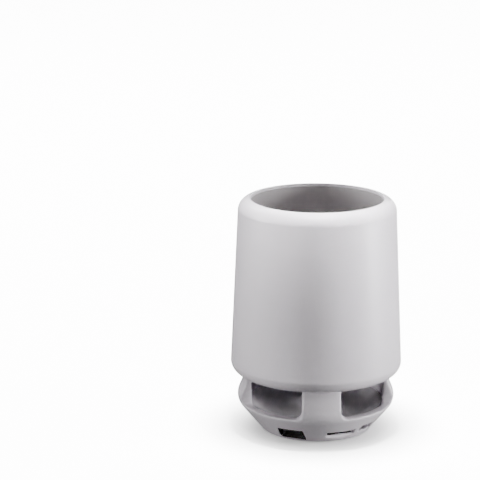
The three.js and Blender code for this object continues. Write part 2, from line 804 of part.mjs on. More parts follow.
// Large socket: a sheet shell open at its mouth, the block with its tongue, and the collar out to the flank
{
  const place = groupAt({ angle: usbAngle });
  const low = usbHeight - usbTall / 2;
  const high = usbHeight + usbTall / 2;
  const outline = rectangle(usbWidth, low, high);
  const inner = (sheet) => rectangle(usbWidth - 2 * sheet, low + sheet, high - sheet);
  const shell = solid(outward(outline, usbBack, usbMouth));
  const hollow = outward(inner(usbSheet), usbBack + usbSheet, usbMouth + 1);
  add('usb_a_shell', surface(cut(shell, [hollow])), tin, place);
  const collar = solid(outward(outline, usbMouth + seat, farOut)).intersect(bowlSolid(-collarInset));
  add('usb_collar', surface(cut(collar, [outward(inner(collarSheet), usbMouth, farOut)])), black, place);
  const blockBack = usbBack + usbSheet + seat;
  const blockFront = blockBack + usbBlock;
  const block = rectangle(usbWidth - 2 * (usbSheet + fit), low + usbSheet + fit, high - usbSheet - fit);
  const tongueTop = high - usbSheet - 0.7;
  const tongue = rectangle(usbTongueWidth, tongueTop - usbTongueThickness, tongueTop);
  const blade = outward(tongue, blockFront - 1, usbMouth - 0.6);
  const body = join(solid(outward(block, blockBack, blockFront)), [blade]);
  add('usb_a_tongue', surface(body), black, place);
}

// Card socket on the board
{
  const place = groupAt({ angle: cardAngle });
  const low = componentBottom;
  const middle = low + cardTall / 2;
  const body = solid(outward(rectangle(cardWidth, low, low + cardTall), cardBack, cardMouth));
  const slot = rectangle(cardSlotWidth, middle - cardSlotTall / 2, middle + cardSlotTall / 2);
  add('card_socket', surface(cut(body, [outward(slot, cardBack + 1.2, cardMouth + 1)])), black, place);
}

// Charging socket on the board
{
  const place = groupAt({ angle: chargeAngle });
  const low = componentBottom;
  const outline = (inset) => {
    const half = chargeWidth / 2 - inset;
    const shape = new THREE.Shape();
    shape.moveTo(-half + 1, low + inset);
    shape.lineTo(half - 1, low + inset);
    shape.lineTo(half, low + inset + 1);
    shape.lineTo(half, low + chargeTall - inset);
    shape.lineTo(-half, low + chargeTall - inset);
    shape.lineTo(-half, low + inset + 1);
    shape.closePath();
    return shape;
  };
  const inside = chargeBack + chargeSheet;
  const shell = solid(outward(outline(0), chargeBack, chargeMouth));
  const hollow = outward(outline(chargeSheet), inside, chargeMouth + 1);
  add('charge_socket_shell', surface(cut(shell, [hollow])), tin, place);
  const top = low + chargeTall - chargeSheet - 0.5;
  const tongue = rectangle(chargeWidth - 2 * chargeSheet - 1.4, top - 0.6, top);
  add('charge_socket_tongue', outward(tongue, inside + seat, chargeMouth - 1), black, place);
}

// Push buttons at the back, each over its small switch
buttonAngles.forEach((angle, i) => {
  const place = groupAt({ angle });
  const flangeBack = buttonFlangeFace - buttonFlangeThickness;
  const stemEnd = tactFace + plungerLength + buttonTravel + plungerRest;
  const cap = solid(outward(stadium(buttonWidth, buttonTall, controlHeight), flangeBack, farOut));
  const wide = stadium(buttonWidth + 2 * buttonFlange, buttonTall + 2 * buttonFlange, controlHeight);
  const stem = stadium(buttonStemWidth, buttonStemTall, controlHeight);
  const parts = [outward(wide, flangeBack, buttonFlangeFace), outward(stem, stemEnd, flangeBack + 0.4, 2)];
  const body = join(cap.intersect(bowlSolid(buttonProud)), parts);
  add(buttonNames[i], surface(body), white, place);

  const low = componentBottom;
  const can = solid(outward(rectangle(tactWidth, low, low + tactTall), tactFace - tactDepth, tactFace));
  const plunger = outward(circle(plungerRadius, controlHeight), tactFace - 0.5, tactFace + plungerLength, 3);
  add(`tact_switch_${i + 1}`, surface(join(can, [plunger])), tin, place);
});

// Slide switch and its knob, which rests at the off end of its track
{
  const place = groupAt({ angle: switchAngle });
  const low = componentBottom;
  const can = rectangle(switchWidth, low, low + switchTall);
  add('power_switch_body', outward(can, switchFace - switchDepth, switchFace), tin, place);
  const reach = rectangle(knobWidth, controlHeight - knobTall / 2, controlHeight + knobTall / 2);
  const pad = rectangle(padWidth, controlHeight - padTall / 2, controlHeight + padTall / 2);
  const stem = solid(outward(reach, switchFace + fit, farOut)).intersect(bowlSolid(padProud));
  const skin = bowlSolid(padProud).subtract(bowlSolid(fit));
  const outer = solid(outward(pad, hatchRadius, farOut)).intersect(skin);
  const knob = add('power_switch_knob', surface(stem.add(outer)), black, place);
  knob.position.x = -knobTravel / 2;
}

// Status lamp and the light pipe that shows it
{
  const place = groupAt({ angle: lampAngle });
  const low = componentBottom;
  add('status_lamp', outward(rectangle(lampWidth, low, low + lampTall), lampFace - lampDepth, lampFace),
    { color: 0xdfe8ee, roughness: 0.3 }, place);
  const pipe = solid(outward(circle(pipeRadius, controlHeight), lampFace + seat, farOut));
  add('lamp_light_pipe', surface(pipe.intersect(bowlSolid(0))), clear, place);
}

// Battery lying on the board, between the bosses and behind the large socket
{
  const batteryWidth = 2 * (bossCircle * Math.sin(radians(bossAngles[0])) - bossRadius - batteryGap);
  const back = bossCircle - bossRadius - batteryGap;
  const corner = usbBack * Math.cos(radians(usbAngle)) + (usbWidth / 2) * Math.sin(radians(usbAngle));
  const batteryLength = back + corner - batteryFront;
  const shape = new THREE.Shape();
  const [x, y, r] = [batteryWidth / 2, batteryLength / 2, batteryRound];
  shape.absarc(x - r, y - r, r, 0, Math.PI / 2, false);
  shape.absarc(r - x, y - r, r, Math.PI / 2, Math.PI, false);
  shape.absarc(r - x, r - y, r, Math.PI, 1.5 * Math.PI, false);
  shape.absarc(x - r, r - y, r, 1.5 * Math.PI, 2 * Math.PI, false);
  const cell = new THREE.ExtrudeGeometry(shape, {
    depth: batteryThickness, bevelEnabled: false, curveSegments: 4 });
  const mesh = add('battery_cell', cell, foil);
  mesh.position.set(0, back - batteryLength / 2, boardTop + seat);
}

// Chips, the inductor and the lead's connector
[
  { name: 'bluetooth_chip', size: bluetoothChip, at: [bluetoothChip.x, boardRadius - bluetoothChip.inset] },
  { name: 'amplifier_chip', size: amplifierChip, at: [boardRadius - amplifierChip.inset, amplifierChip.y] },
  { name: 'charger_chip', size: chargerChip, at: [boardRadius - chargerChip.inset, chargerChip.y] },
  { name: 'power_inductor', size: inductor, at: [inductor.inset - boardRadius, inductor.y] },
].forEach(({ name, size, at }) => {
  const mesh = add(name, box(size.width, size.length, size.tall), { color: 0x1b1b1e, roughness: 0.6 });
  mesh.position.set(at[0], at[1], componentBottom + size.tall / 2);
});
{
  const place = groupAt({ angle: connectorAngle });
  const mesh = add('speaker_connector', box(connectorWidth, connectorDepth, connectorTall),
    { color: 0xe9e6da, roughness: 0.6 }, place);
  mesh.position.set(0, -connectorCircle, componentBottom + connectorTall / 2);
}

// The loudspeaker's twin lead: from the basket's tab, down the dish's tube and in to the connector
{
  const up = new THREE.Vector3(0, 0, 1);
  const at = (distance, angle, height) =>
    new THREE.Vector3(0, -distance, height).applyAxisAngle(up, radians(angle));
  const entry = connectorCircle + connectorDepth / 2 + fit;
  const entryHeight = componentBottom + connectorTall / 2;
  const low = bowlRadius(entryHeight + 2) - bowlWall - 2.4;
  const route = new THREE.CatmullRomCurve3([
    at(flangeRadius - 2.4 + fit, tabAngle, driverBase + 4),
    at(leadCircle - 1.6, leadAngle, driverBase + 3.6),
    at(leadCircle, leadAngle, driverBase + 1),
    at(leadCircle, leadAngle, baffleTop),
    at(leadCircle, leadAngle, cupUnderside - 3),
    at(leadCircle, leadAngle, dishFloorHeight + 4),
    at(leadCircle, leadAngle, dishFloorHeight - 1),
    at(low, leadAngle, entryHeight + 2),
    at(low - 2.4, leadAngle, entryHeight + 0.3),
    at(entry + 1.4, connectorAngle, entryHeight),
    at(entry, connectorAngle, entryHeight),
  ], false, 'centripetal');
  const lead = new THREE.ExtrudeGeometry(circle(leadRadius), {
    steps: 24, extrudePath: route, bevelEnabled: false, curveSegments: 4 });
  add('speaker_lead', lead, { color: 0x8c1f22, roughness: 0.6 });
}

// Bottom cover with the bosses that clamp the board, the screws' counterbores and the feet's recesses
{
  const bosses = bossAngles.map((angle) =>
    outAt(disc(bossRadius, coverTop - 0.5, boardUnderside - seat, aroundSmall), bossCircle, angle));
  const holes = [];
  bossAngles.forEach((angle) => {
    holes.push(outAt(disc(coverScrew.shank + fit, -1, boardUnderside + 1, aroundSmall), bossCircle, angle));
    const counterbore = disc(counterboreRadius, -1, bowlUnderside + counterboreDepth, aroundSmall);
    holes.push(outAt(counterbore, bossCircle, angle));
  });
  footAngles.forEach((angle) => {
    holes.push(outAt(disc(footRadius + fit, -1, bowlUnderside + footRecess, aroundFoot), footCircle, angle));
  });
  const plate = disc(hatchRadius - fit, bowlUnderside, coverTop);
  add('bottom_cover', surface(cut(join(solid(plate), bosses), holes)), white);
}
bossAngles.forEach((angle, i) => {
  const place = groupAt({ height: bowlUnderside + counterboreDepth - seat, angle });
  const mesh = add(`cover_screw_${i + 1}`, screw(coverScrew), steel, place);
  mesh.position.y = -bossCircle;
  mesh.rotation.y = Math.PI;
});
footAngles.forEach((angle, i) => {
  const pad = disc(footRadius, 0, bowlUnderside + footRecess - seat, aroundFoot);
  const mesh = add(`foot_pad_${i + 1}`, pad, rubber, groupAt({ angle }));
  mesh.position.y = -footCircle;
});

export default penStand;
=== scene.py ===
"""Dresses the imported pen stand: satin shells with rounded edges, sockets, controls, finishes and a studio."""

import logging
import math
from dataclasses import dataclass
from enum import Enum
from typing import Callable, NamedTuple, Sequence

import bmesh
import bpy
from mathutils import Matrix, Vector


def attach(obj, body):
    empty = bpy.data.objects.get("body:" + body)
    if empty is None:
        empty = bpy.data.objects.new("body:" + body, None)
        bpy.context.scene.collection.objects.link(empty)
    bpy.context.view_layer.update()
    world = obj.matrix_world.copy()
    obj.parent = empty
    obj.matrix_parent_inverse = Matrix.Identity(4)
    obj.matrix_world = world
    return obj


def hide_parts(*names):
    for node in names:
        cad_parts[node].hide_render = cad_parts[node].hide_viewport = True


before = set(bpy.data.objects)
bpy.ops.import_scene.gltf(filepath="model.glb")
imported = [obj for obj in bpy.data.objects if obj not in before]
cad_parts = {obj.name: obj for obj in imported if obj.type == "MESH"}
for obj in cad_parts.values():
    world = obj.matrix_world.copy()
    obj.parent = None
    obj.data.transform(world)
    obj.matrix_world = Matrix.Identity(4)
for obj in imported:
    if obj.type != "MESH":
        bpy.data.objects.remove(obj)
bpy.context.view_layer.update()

logging.basicConfig(level=logging.INFO, format="%(message)s")
LOG = logging.getLogger("pen_stand")

MM = 0.001
# Points closer together than MERGE are one point, and heights closer than LEVEL are the same, in metres
MERGE = 2e-6
LEVEL = 1e-6
# Edges that turn more than this many degrees stay sharp
SHARP_ANGLE = 32.0
# How far a cutter reaches past what it cuts, and where the flank's cutters start and end, in millimetres
OVERCUT = 1.0
FLANK_INNER = 21.5
FLANK_OUTER = 48.0
# The clearance round what goes through a hole or into a seat, in millimetres
GAP = 0.3
# Where the lead runs down: its distance from the axis, its angle from the front and the radius of its hole
LEAD_CIRCLE = 29.6
LEAD_ANGLE = 167.4
LEAD_BORE = 1.25
# Where the cover's screws stand, and the bosses on both sides that they go through
SCREW_CIRCLE = 16.0
SCREW_ANGLES = (75.0, 180.0, -75.0)
BOSS_RADIUS = 2.5
BOSS_BORE = 1.3
BOSS_AROUND = 24

# The values that a noise runs between, and those where a tint starts and ends
NOISE_SPAN = (0.3, 0.7)
TINT_SPAN = (0.35, 0.65)
# How a brushed and a fibrous grain are scaled each way, where less than 1 draws them out
BRUSHED_SCALE = (0.05, 1.0, 1.0)
FIBRE_SCALE = (1.0, 0.35, 0.6)
# How many finer layers the noise of a plain grain, of a finish's broad waves and of fibres has
GRAIN_LAYERS = 2.0
WAVE_LAYERS = 3.0
FIBRE_LAYERS = 6.0

Colour = tuple[float, float, float]
Pair = tuple[float, float]
Ring = list[Vector]
Socket = bpy.types.NodeSocket
Inputs = dict[str | int, Socket | float | Sequence[float]]
Piece = bpy.types.Object
# A distance from the axis, or what gives one for a place to the right and a height
Reach = float | Callable[[float, float], float]


class Ends(Enum):
    """How a skin of rings is closed: with a face at each end, or by joining its last ring to its first."""

    CAPPED = "capped"
    JOINED = "joined"


class Grain(Enum):
    """What the fine relief of a finish looks like."""

    SPECKLE = "speckle"
    BRUSHED = "brushed"
    WOVEN = "woven"
    FIBRE = "fibre"


# Finishes


class Graph:
    """The nodes of one material or sky, added one after another."""

    def __init__(self, owner: bpy.types.Material | bpy.types.World) -> None:
        """Starts the nodes of a new material or world.

        Args:
            owner: the material or world.
        """
        owner.use_nodes = True
        self.nodes = owner.node_tree.nodes
        self.links = owner.node_tree.links
        self.shader = self.nodes.get("Principled BSDF")
        self.coordinates = self.nodes.new("ShaderNodeTexCoord").outputs
        self.place = self.coordinates["Object"]

    def put(self, node: bpy.types.Node, inputs: Inputs) -> None:
        """Links each input of a node to its socket, or sets it where it is given a value.

        Args:
            node: the node.
            inputs: socket or value for each input.
        """
        for name, value in inputs.items():
            if isinstance(value, Socket):
                self.links.new(value, node.inputs[name])
            else:
                node.inputs[name].default_value = value

    def add(self, kind: str, inputs: Inputs, **settings: str) -> bpy.types.Node:
        """Adds a node.

        Args:
            kind: type of the node, without its first word.
            inputs: value or socket for each input that isn't left alone.
            settings: what else is set on the node.

        Returns:
            The new node.
        """
        node = self.nodes.new(f"ShaderNode{kind}")
        for name, value in settings.items():
            setattr(node, name, value)
        self.put(node, inputs)
        return node

    def stretched(self, scale: Sequence[float]) -> Socket:
        """Returns object coordinates that are scaled by a different amount each way."""
        return self.add("Mapping", {"Scale": scale, "Vector": self.place}).outputs["Vector"]

    def noise(self, scale: float, detail: float = GRAIN_LAYERS, vector: Socket | None = None) -> Socket:
        """Adds a noise texture.

        Args:
            scale: how many features there are in a metre.
            detail: how many finer layers it has.
            vector: coordinates, or None for plain object coordinates.

        Returns:
            The socket with the texture's value.
        """
        inputs = {"Scale": scale, "Detail": detail, "Vector": vector or self.place}
        return self.add("TexNoise", inputs).outputs["Fac"]

    def weave(self, scale: float) -> Socket:
        """Returns the value of two sets of crossing threads, with so many threads in a metre.

        Args:
            scale: how many threads there are in a metre.

        Returns:
            The socket with the value.
        """
        inputs = {"Scale": scale, "Vector": self.place}
        waves = [self.add("TexWave", inputs, bands_direction=way).outputs["Fac"] for way in ("X", "Y")]
        return self.add("Math", dict(enumerate(waves)), operation="MAXIMUM").outputs[0]

    def ranged(self, value: Socket, span: Pair, low: float, high: float, **settings: str) -> Socket:
        """Returns a value that runs from low to high as another runs over a span."""
        inputs = {"From Min": span[0], "From Max": span[1], "To Min": low, "To Max": high, "Value": value}
        return self.add("MapRange", inputs, **settings).outputs["Result"]

    def tint(self, value: Socket, first: Colour, second: Colour) -> None:
        """Makes the base colour run between two colours with a value.

        Args:
            value: what the colour follows.
            first: colour where the value is low.
            second: colour where the value is high.
        """
        ramp = self.add("ValToRGB", {"Fac": value})
        for stop, position, colour in zip(ramp.color_ramp.elements, TINT_SPAN, (first, second)):
            stop.position = position
            stop.color = (*colour, 1.0)
        self.put(self.shader, {"Base Color": ramp.outputs["Color"]})

    def gloss(self, value: Socket, roughness: float, spread: float) -> None:
        """Makes the roughness vary by a spread either way with a noise."""
        varied = self.ranged(value, NOISE_SPAN, roughness - spread, roughness + spread)
        self.put(self.shader, {"Roughness": varied})

    def relief(self, value: Socket, depth: float) -> None:
        """Adds a relief of a depth in millimetres on top of any there is.

        Args:
            value: height of the relief, as a share of its depth.
            depth: its depth in millimetres.
        """
        bump = self.add("Bump", {"Distance": depth * MM, "Strength": 1.0, "Height": value})
        normal = self.shader.inputs["Normal"]
        if normal.links:
            self.put(bump, {"Normal": normal.links[0].from_socket})
        self.put(self.shader, {"Normal": bump.outputs["Normal"]})


@dataclass(frozen=True)
class Finish:
    """A surface finish with a little unevenness of colour, gloss and relief.

    Sizes are in millimetres. Colours are linear.
    """

    name: str
    slot: str
    colour: Colour
    roughness: float
    metal: float = 0.0
    grain: Grain = Grain.SPECKLE
    grain_size: float = 0.4
    grain_depth: float = 0.006
    wave_size: float = 9.0
    wave_depth: float = 0.02
    unevenness: float = 0.03
    gloss_spread: float = 0.05
    coat: float = 0.0
    coat_roughness: float = 0.25
    clearness: float = 0.0
    refraction: float = 1.49

    def material(self) -> bpy.types.Material:
        """Returns the finish's material, which is made once.

        Returns:
            The material.
        """
        material = bpy.data.materials.get(self.name)
        if not material:
            material = bpy.data.materials.new(self.name)
            self.paint(Graph(material))
        return material

    def paint(self, graph: Graph) -> None:
        """Gives a new material the finish's colour, gloss and relief.

        Args:
            graph: the material's nodes.
        """
        graph.put(graph.shader, {
            "Metallic": self.metal,
            "Coat Weight": self.coat,
            "Coat Roughness": self.coat_roughness,
            "Transmission Weight": self.clearness,
        })
        if self.clearness:
            graph.put(graph.shader, {"IOR": self.refraction})
        broad = graph.noise(1.0 / (self.wave_size * MM), WAVE_LAYERS)
        darker = tuple(part * (1.0 - self.unevenness) for part in self.colour)
        lighter = tuple(min(1.0, part * (1.0 + self.unevenness)) for part in self.colour)
        graph.tint(broad, darker, lighter)
        fine = self.fine(graph)
        graph.gloss(fine, self.roughness, self.gloss_spread)
        graph.relief(fine, self.grain_depth)
        if self.wave_depth:
            graph.relief(broad, self.wave_depth)

    def fine(self, graph: Graph) -> Socket:
        """Returns the value of the finish's fine relief.

        Args:
            graph: the material's nodes.

        Returns:
            The socket with the value.
        """
        scale = 1.0 / (self.grain_size * MM)
        if self.grain is Grain.BRUSHED:
            return graph.noise(scale, GRAIN_LAYERS, graph.stretched(BRUSHED_SCALE))
        if self.grain is Grain.WOVEN:
            return graph.weave(scale)
        if self.grain is Grain.FIBRE:
            return graph.noise(scale, FIBRE_LAYERS, graph.stretched(FIBRE_SCALE))
        return graph.noise(scale)


@dataclass(frozen=True)
class Laminate(Finish):
    """Green solder mask over copper tracks, which show through it as paler lines."""

    track_pitch: float = 1.3
    tracks_in_tile: int = 4
    track_width: float = 0.06
    track_height: float = 0.03
    track_paler: float = 2.2

    def paint(self, graph: Graph) -> None:
        """Gives a new material the board's tracks, gloss and relief.

        Args:
            graph: the material's nodes.
        """
        graph.put(graph.shader, {"Coat Weight": self.coat})
        black, white = (0.0, 0.0, 0.0, 1.0), (1.0, 1.0, 1.0, 1.0)
        tracks = graph.add("TexBrick", {
            "Scale": 1.0 / (self.track_pitch * self.tracks_in_tile * MM),
            "Mortar Size": self.track_width,
            "Color1": black,
            "Color2": black,
            "Mortar": white,
            "Vector": graph.place,
        }).outputs["Color"]
        graph.tint(tracks, self.colour, tuple(part * self.track_paler for part in self.colour))
        graph.gloss(graph.noise(1.0 / (self.grain_size * MM)), self.roughness, self.gloss_spread)
        graph.relief(tracks, self.track_height)


WHITE = Finish("satin_white", "white_plastic", (0.80, 0.755, 0.81), 0.36, grain_size=0.35, unevenness=0.008)
# The well's grey is darker than the cup's white plastic: it paints the shade inside the cup (painted shade).
WELL_PAINTED_SHADE = Finish("well_painted_shade_grey", "liner_plastic", (0.44, 0.42, 0.43), 0.5, grain_size=0.5, unevenness=0.01)
# The dish's grey is darker than the white plastic: it paints the shade inside the bowl (painted shade).
DISH_PAINTED_SHADE = Finish("dish_painted_shade_grey", "dish_plastic", (0.55, 0.53, 0.56), 0.5, grain_size=0.5, unevenness=0.01)
BLACK = Finish("moulded_black", "black_plastic", (0.012, 0.012, 0.013), 0.5, grain_depth=0.01)
GRILLE = Finish("black_paint", "black_metal", (0.014, 0.014, 0.014), 0.55, grain_size=0.25, grain_depth=0.012)
STEEL = Finish("zinc_plate", "plated_steel", (0.50, 0.51, 0.54), 0.32, metal=1.0, grain=Grain.BRUSHED,
               grain_size=0.15, unevenness=0.08)
TIN = Finish("tinned_sheet", "tinned_sheet", (0.58, 0.58, 0.60), 0.3, metal=1.0, grain=Grain.BRUSHED,
             grain_size=0.12, unevenness=0.06)
RUBBER = Finish("foot_rubber", "black_rubber", (0.022, 0.022, 0.023), 0.85, grain_size=0.25, grain_depth=0.03)
FERRITE = Finish("sintered_ferrite", "ferrite", (0.03, 0.03, 0.035), 0.65, metal=0.3, grain_size=0.2,
                 grain_depth=0.02, unevenness=0.2)
COPPER = Finish("wound_copper", "copper", (0.55, 0.24, 0.10), 0.35, metal=1.0, grain=Grain.BRUSHED,
                grain_size=0.1, grain_depth=0.02)
PAPER = Finish("cone_paper", "cone_paper", (0.026, 0.026, 0.029), 0.85, grain=Grain.FIBRE, grain_size=0.5,
               grain_depth=0.05, unevenness=0.2)
CLOTH = Finish("spider_cloth", "spider_cloth", (0.55, 0.36, 0.12), 0.9, grain=Grain.WOVEN, grain_size=0.5,
               grain_depth=0.05, unevenness=0.1)
BOARD = Laminate("solder_mask", "board_green", (0.012, 0.09, 0.035), 0.35, coat=0.4)
FOIL = Finish("cell_foil", "battery_foil", (0.55, 0.57, 0.60), 0.4, metal=0.7, grain_size=1.2,
              grain_depth=0.04, wave_depth=0.08, unevenness=0.05)
RESIN = Finish("chip_resin", "chip_resin", (0.012, 0.012, 0.014), 0.6, grain_size=0.15, grain_depth=0.015)
NYLON = Finish("connector_nylon", "connector_nylon", (0.76, 0.73, 0.64), 0.5)
LAMP = Finish("lamp_resin", "lamp_resin", (0.7, 0.76, 0.82), 0.3, coat=0.3)
CLEAR = Finish("light_pipe", "clear_plastic", (0.86, 0.89, 0.92), 0.12, clearness=0.75, grain_depth=0.001)
SLEEVE = Finish("lead_sleeve", "lead_sleeve", (0.28, 0.012, 0.014), 0.45, coat=0.2)
GOLD = Finish("gold_plate", "tinned_sheet", (0.80, 0.56, 0.22), 0.25, metal=1.0, grain=Grain.BRUSHED,
              grain_size=0.1)

# CAD nodes that keep their own shape, under the finish that they get
KEPT_NODES: tuple[tuple[Finish, tuple[str, ...]], ...] = (
    (BLACK, ("baffle_plate", "card_socket", "charge_socket_tongue")),
    (STEEL, ("driver_basket", "driver_top_plate", "driver_yoke",
             *(f"{kind}_screw_{i}" for kind in ("driver", "baffle") for i in range(1, 5)))),
    (RUBBER, ("driver_gasket", "driver_surround")),
    (FERRITE, ("driver_magnet", "power_inductor")),
    (COPPER, ("driver_voice_coil",)),
    (PAPER, ("driver_cone", "driver_dust_cap")),
    (CLOTH, ("driver_spider",)),
    (BOARD, ("main_board",)),
    (TIN, ("charge_socket_shell", "power_switch_body", *(f"tact_switch_{i}" for i in range(1, 4)))),
    (LAMP, ("status_lamp",)),
    (FOIL, ("battery_cell",)),
    (RESIN, ("bluetooth_chip", "amplifier_chip", "charger_chip")),
    (NYLON, ("speaker_connector",)),
    (SLEEVE, ("speaker_lead",)),
)


# Modelling by hand


def alone(piece: Piece | None = None) -> None:
    """Deselects everything, and then selects one piece and makes it the active one if it is given.

    Args:
        piece: the piece, or None to leave nothing selected.
    """
    bpy.ops.object.select_all(action="DESELECT")
    if piece:
        piece.select_set(True)
        bpy.context.view_layer.objects.active = piece


def edited(piece: Piece, kind: str) -> bmesh.types.BMesh:
    """Opens a piece in edit mode, with nothing selected.

    Args:
        piece: the piece.
        kind: what is going to be selected: VERT, EDGE or FACE.

    Returns:
        The mesh that is edited.
    """
    alone(piece)
    bpy.ops.object.mode_set(mode="EDIT")
    bpy.ops.mesh.select_mode(type=kind)
    bpy.ops.mesh.select_all(action="DESELECT")
    return bmesh.from_edit_mesh(piece.data)


def leave_edit() -> None:
    """Merges doubles and points the faces outwards in edit mode, and goes back to object mode."""
    bpy.ops.mesh.select_mode(type="VERT")
    bpy.ops.mesh.select_all(action="SELECT")
    bpy.ops.mesh.remove_doubles(threshold=MERGE)
    bpy.ops.mesh.normals_make_consistent(inside=False)
    bpy.ops.object.mode_set(mode="OBJECT")


def named(piece: Piece, name: str) -> Piece:
    """Gives a piece and its mesh a name."""
    piece.name = piece.data.name = name
    return piece


def arc(x: float, z: float, radius: float, start: float, end: float, steps: int) -> list[Pair]:
    """Returns points on part of a circle, from one angle to another in degrees."""
    angles = [math.radians(start + (end - start) * i / steps) for i in range(steps + 1)]
    return [(x + radius * math.cos(a), z + radius * math.sin(a)) for a in angles]


def flowing(points: Sequence[Pair], steps: int) -> list[Pair]:
    """Returns a smooth curve through points, with so many steps from each to the next.

    Args:
        points: what the curve runs through.
        steps: how many steps there are from each point to the next.

    Returns:
        The curve's points.
    """

    def between(a: float, b: float, c: float, d: float, t: float) -> float:
        """Returns the value a share of the way from b to c, with a before and d after them."""
        bend = (2 * a - 5 * b + 4 * c - d) * t * t + (3 * b - a - 3 * c + d) * t ** 3
        return 0.5 * (2 * b + (c - a) * t + bend)

    padded = [points[0], *points, points[-1]]
    curve: list[Pair] = []
    for four in zip(padded, padded[1:], padded[2:], padded[3:]):
        curve.extend(tuple(between(*values, i / steps) for values in zip(*four)) for i in range(steps))
    return [*curve, points[-1]]


def rounded(width: float, low: float, high: float, corner: float, steps: int = 4) -> list[Pair]:
    """Returns a rectangle with rounded corners, seen from the front.

    Args:
        width: its width.
        low: height of its lower edge.
        high: height of its upper edge.
        corner: radius of its corners.
        steps: how many steps each corner has.

    Returns:
        The outline's points.
    """
    right = width / 2 - corner
    return [
        *arc(right, low + corner, corner, -90, 0, steps),
        *arc(right, high - corner, corner, 0, 90, steps),
        *arc(-right, high - corner, corner, 90, 180, steps),
        *arc(-right, low + corner, corner, 180, 270, steps),
    ]


def centred(width: float, tall: float, middle: float, corner: float, steps: int = 4) -> list[Pair]:
    """Returns a rectangle with rounded corners about a middle height, seen from the front."""
    return rounded(width, middle - tall / 2, middle + tall / 2, corner, steps)


def stadium(width: float, tall: float, middle: float, steps: int) -> list[Pair]:
    """Returns an outline with half-round ends about a middle height, seen from the front."""
    flat = 0.01
    return centred(width, tall, middle, tall / 2 - flat, steps)


def skin(name: str, rings: Sequence[Ring], ends: Ends) -> Piece:
    """Grows a closed skin ring by ring: a circle primitive is extruded, and each ring is put in its place.

    Args:
        name: name of the piece.
        rings: points of each ring in millimetres, the same number in each.
        ends: how the skin is closed.

    Returns:
        The new piece.
    """
    count = len(rings[0])
    alone()
    bpy.ops.mesh.primitive_circle_add(vertices=count, radius=max(rings[0][0].length, 1.0) * MM)
    piece = named(bpy.context.active_object, name)
    bpy.ops.object.mode_set(mode="EDIT")
    bpy.ops.mesh.select_all(action="SELECT")
    mesh = bmesh.from_edit_mesh(piece.data)
    for vertex, point in zip(mesh.verts, rings[0]):
        vertex.co = point * MM
    if ends is Ends.CAPPED:
        bpy.ops.mesh.edge_face_add()
        bpy.ops.mesh.select_all(action="SELECT")
    following = [*rings[1:], rings[0]] if ends is Ends.JOINED else rings[1:]
    for step, ring in enumerate(following):
        if step == 0 and ends is Ends.CAPPED:
            bpy.ops.mesh.select_mode(type="EDGE")
            mesh = bmesh.from_edit_mesh(piece.data)
            for face in mesh.faces:
                face.select = False
            for edge in mesh.edges:
                edge.select = True
            bpy.ops.mesh.extrude_edges_indiv()
        else:
            bpy.ops.mesh.extrude_region()
        mesh = bmesh.from_edit_mesh(piece.data)
        mesh.verts.ensure_lookup_table()
        for vertex in mesh.verts[-count:]:
            source = next(e.other_vert(vertex) for e in vertex.link_edges if not e.other_vert(vertex).select)
            vertex.co = ring[source.index % count] * MM
        bmesh.update_edit_mesh(piece.data)
    if ends is Ends.CAPPED:
        bpy.ops.mesh.edge_face_add()
    leave_edit()
    return piece


def turned(name: str, profile: Sequence[Pair], around: int, ends: Ends = Ends.JOINED) -> Piece:
    """Returns a solid of revolution from pairs of radius and height in millimetres.

    Args:
        name: name of the piece.
        profile: pairs of radius and height.
        around: how many facets it has round the axis.
        ends: how its skin is closed.

    Returns:
        The new piece.
    """
    angles = [2 * math.pi * (i + 0.5) / around for i in range(around)]
    rings = [[Vector((r * math.cos(a), r * math.sin(a), z)) for a in angles] for r, z in profile]
    return skin(name, rings, ends)


def peg(radius: float, low: float, high: float, around: int = 32) -> Piece:
    """Returns an upright pin on the axis that cuts a round hole."""
    return turned("peg", [(0, low), (radius, low), (radius, high), (0, high)], around, Ends.CAPPED)


def upright(outline: Sequence[Pair], reach: Reach) -> Ring:
    """Returns the ring that an outline, seen from the front, makes at its distance from the axis."""
    return [Vector((x, -(reach(x, z) if callable(reach) else reach), z)) for x, z in outline]


def sunk(face: Callable[[float, float], float], drop: float) -> Reach:
    """Returns what gives a face's distance from the axis, less a drop."""
    return lambda x, z: face(x, z) - drop


def outwards(name: str, outline: Sequence[Pair], stops: Sequence[Reach],
             scales: Sequence[float] | None = None) -> Piece:
    """Returns an outline seen from the front that is run out from the axis.

    Args:
        name: name of the piece.
        outline: pairs of distance to the right and height.
        stops: the distances from the axis where its rings lie.
        scales: size of the outline at each stop, about its middle.

    Returns:
        The new piece, at the front of the stand.
    """
    middle_x, middle_z = (sum(values) / len(outline) for values in zip(*outline))
    rings = []
    for stop, scale in zip(stops, scales or [1.0] * len(stops)):
        scaled = [(middle_x + (x - middle_x) * scale, middle_z + (z - middle_z) * scale) for x, z in outline]
        rings.append(upright(scaled, stop))
    return skin(name, rings, Ends.CAPPED)


def settled(piece: Piece, angle: float = 0.0, shift: Sequence[float] = (0, 0, 0)) -> Piece:
    """Moves a piece by millimetres, turns it round the axis by degrees and bakes both into its mesh.

    Args:
        piece: the piece.
        angle: how far it is turned, in degrees.
        shift: how far it is moved before that, in millimetres.

    Returns:
        The same piece.
    """
    moved = Matrix.Translation(Vector(shift) * MM)
    piece.data.transform(Matrix.Rotation(math.radians(angle), 4, "Z") @ moved)
    return piece


def on_circle(piece: Piece, circle: float, angle: float, height: float = 0.0) -> Piece:
    """Moves a piece from the axis to a circle round it, at an angle that is 0 at the front."""
    return settled(piece, angle, (0, -circle, height))


def flank_cutter(outline: Sequence[Pair], angle: float, start: float = FLANK_INNER) -> Piece:
    """Returns a cutter for a hole in the flank, or for a recess where it starts in the wall."""
    return settled(outwards("cutter", outline, (start, FLANK_OUTER)), angle)


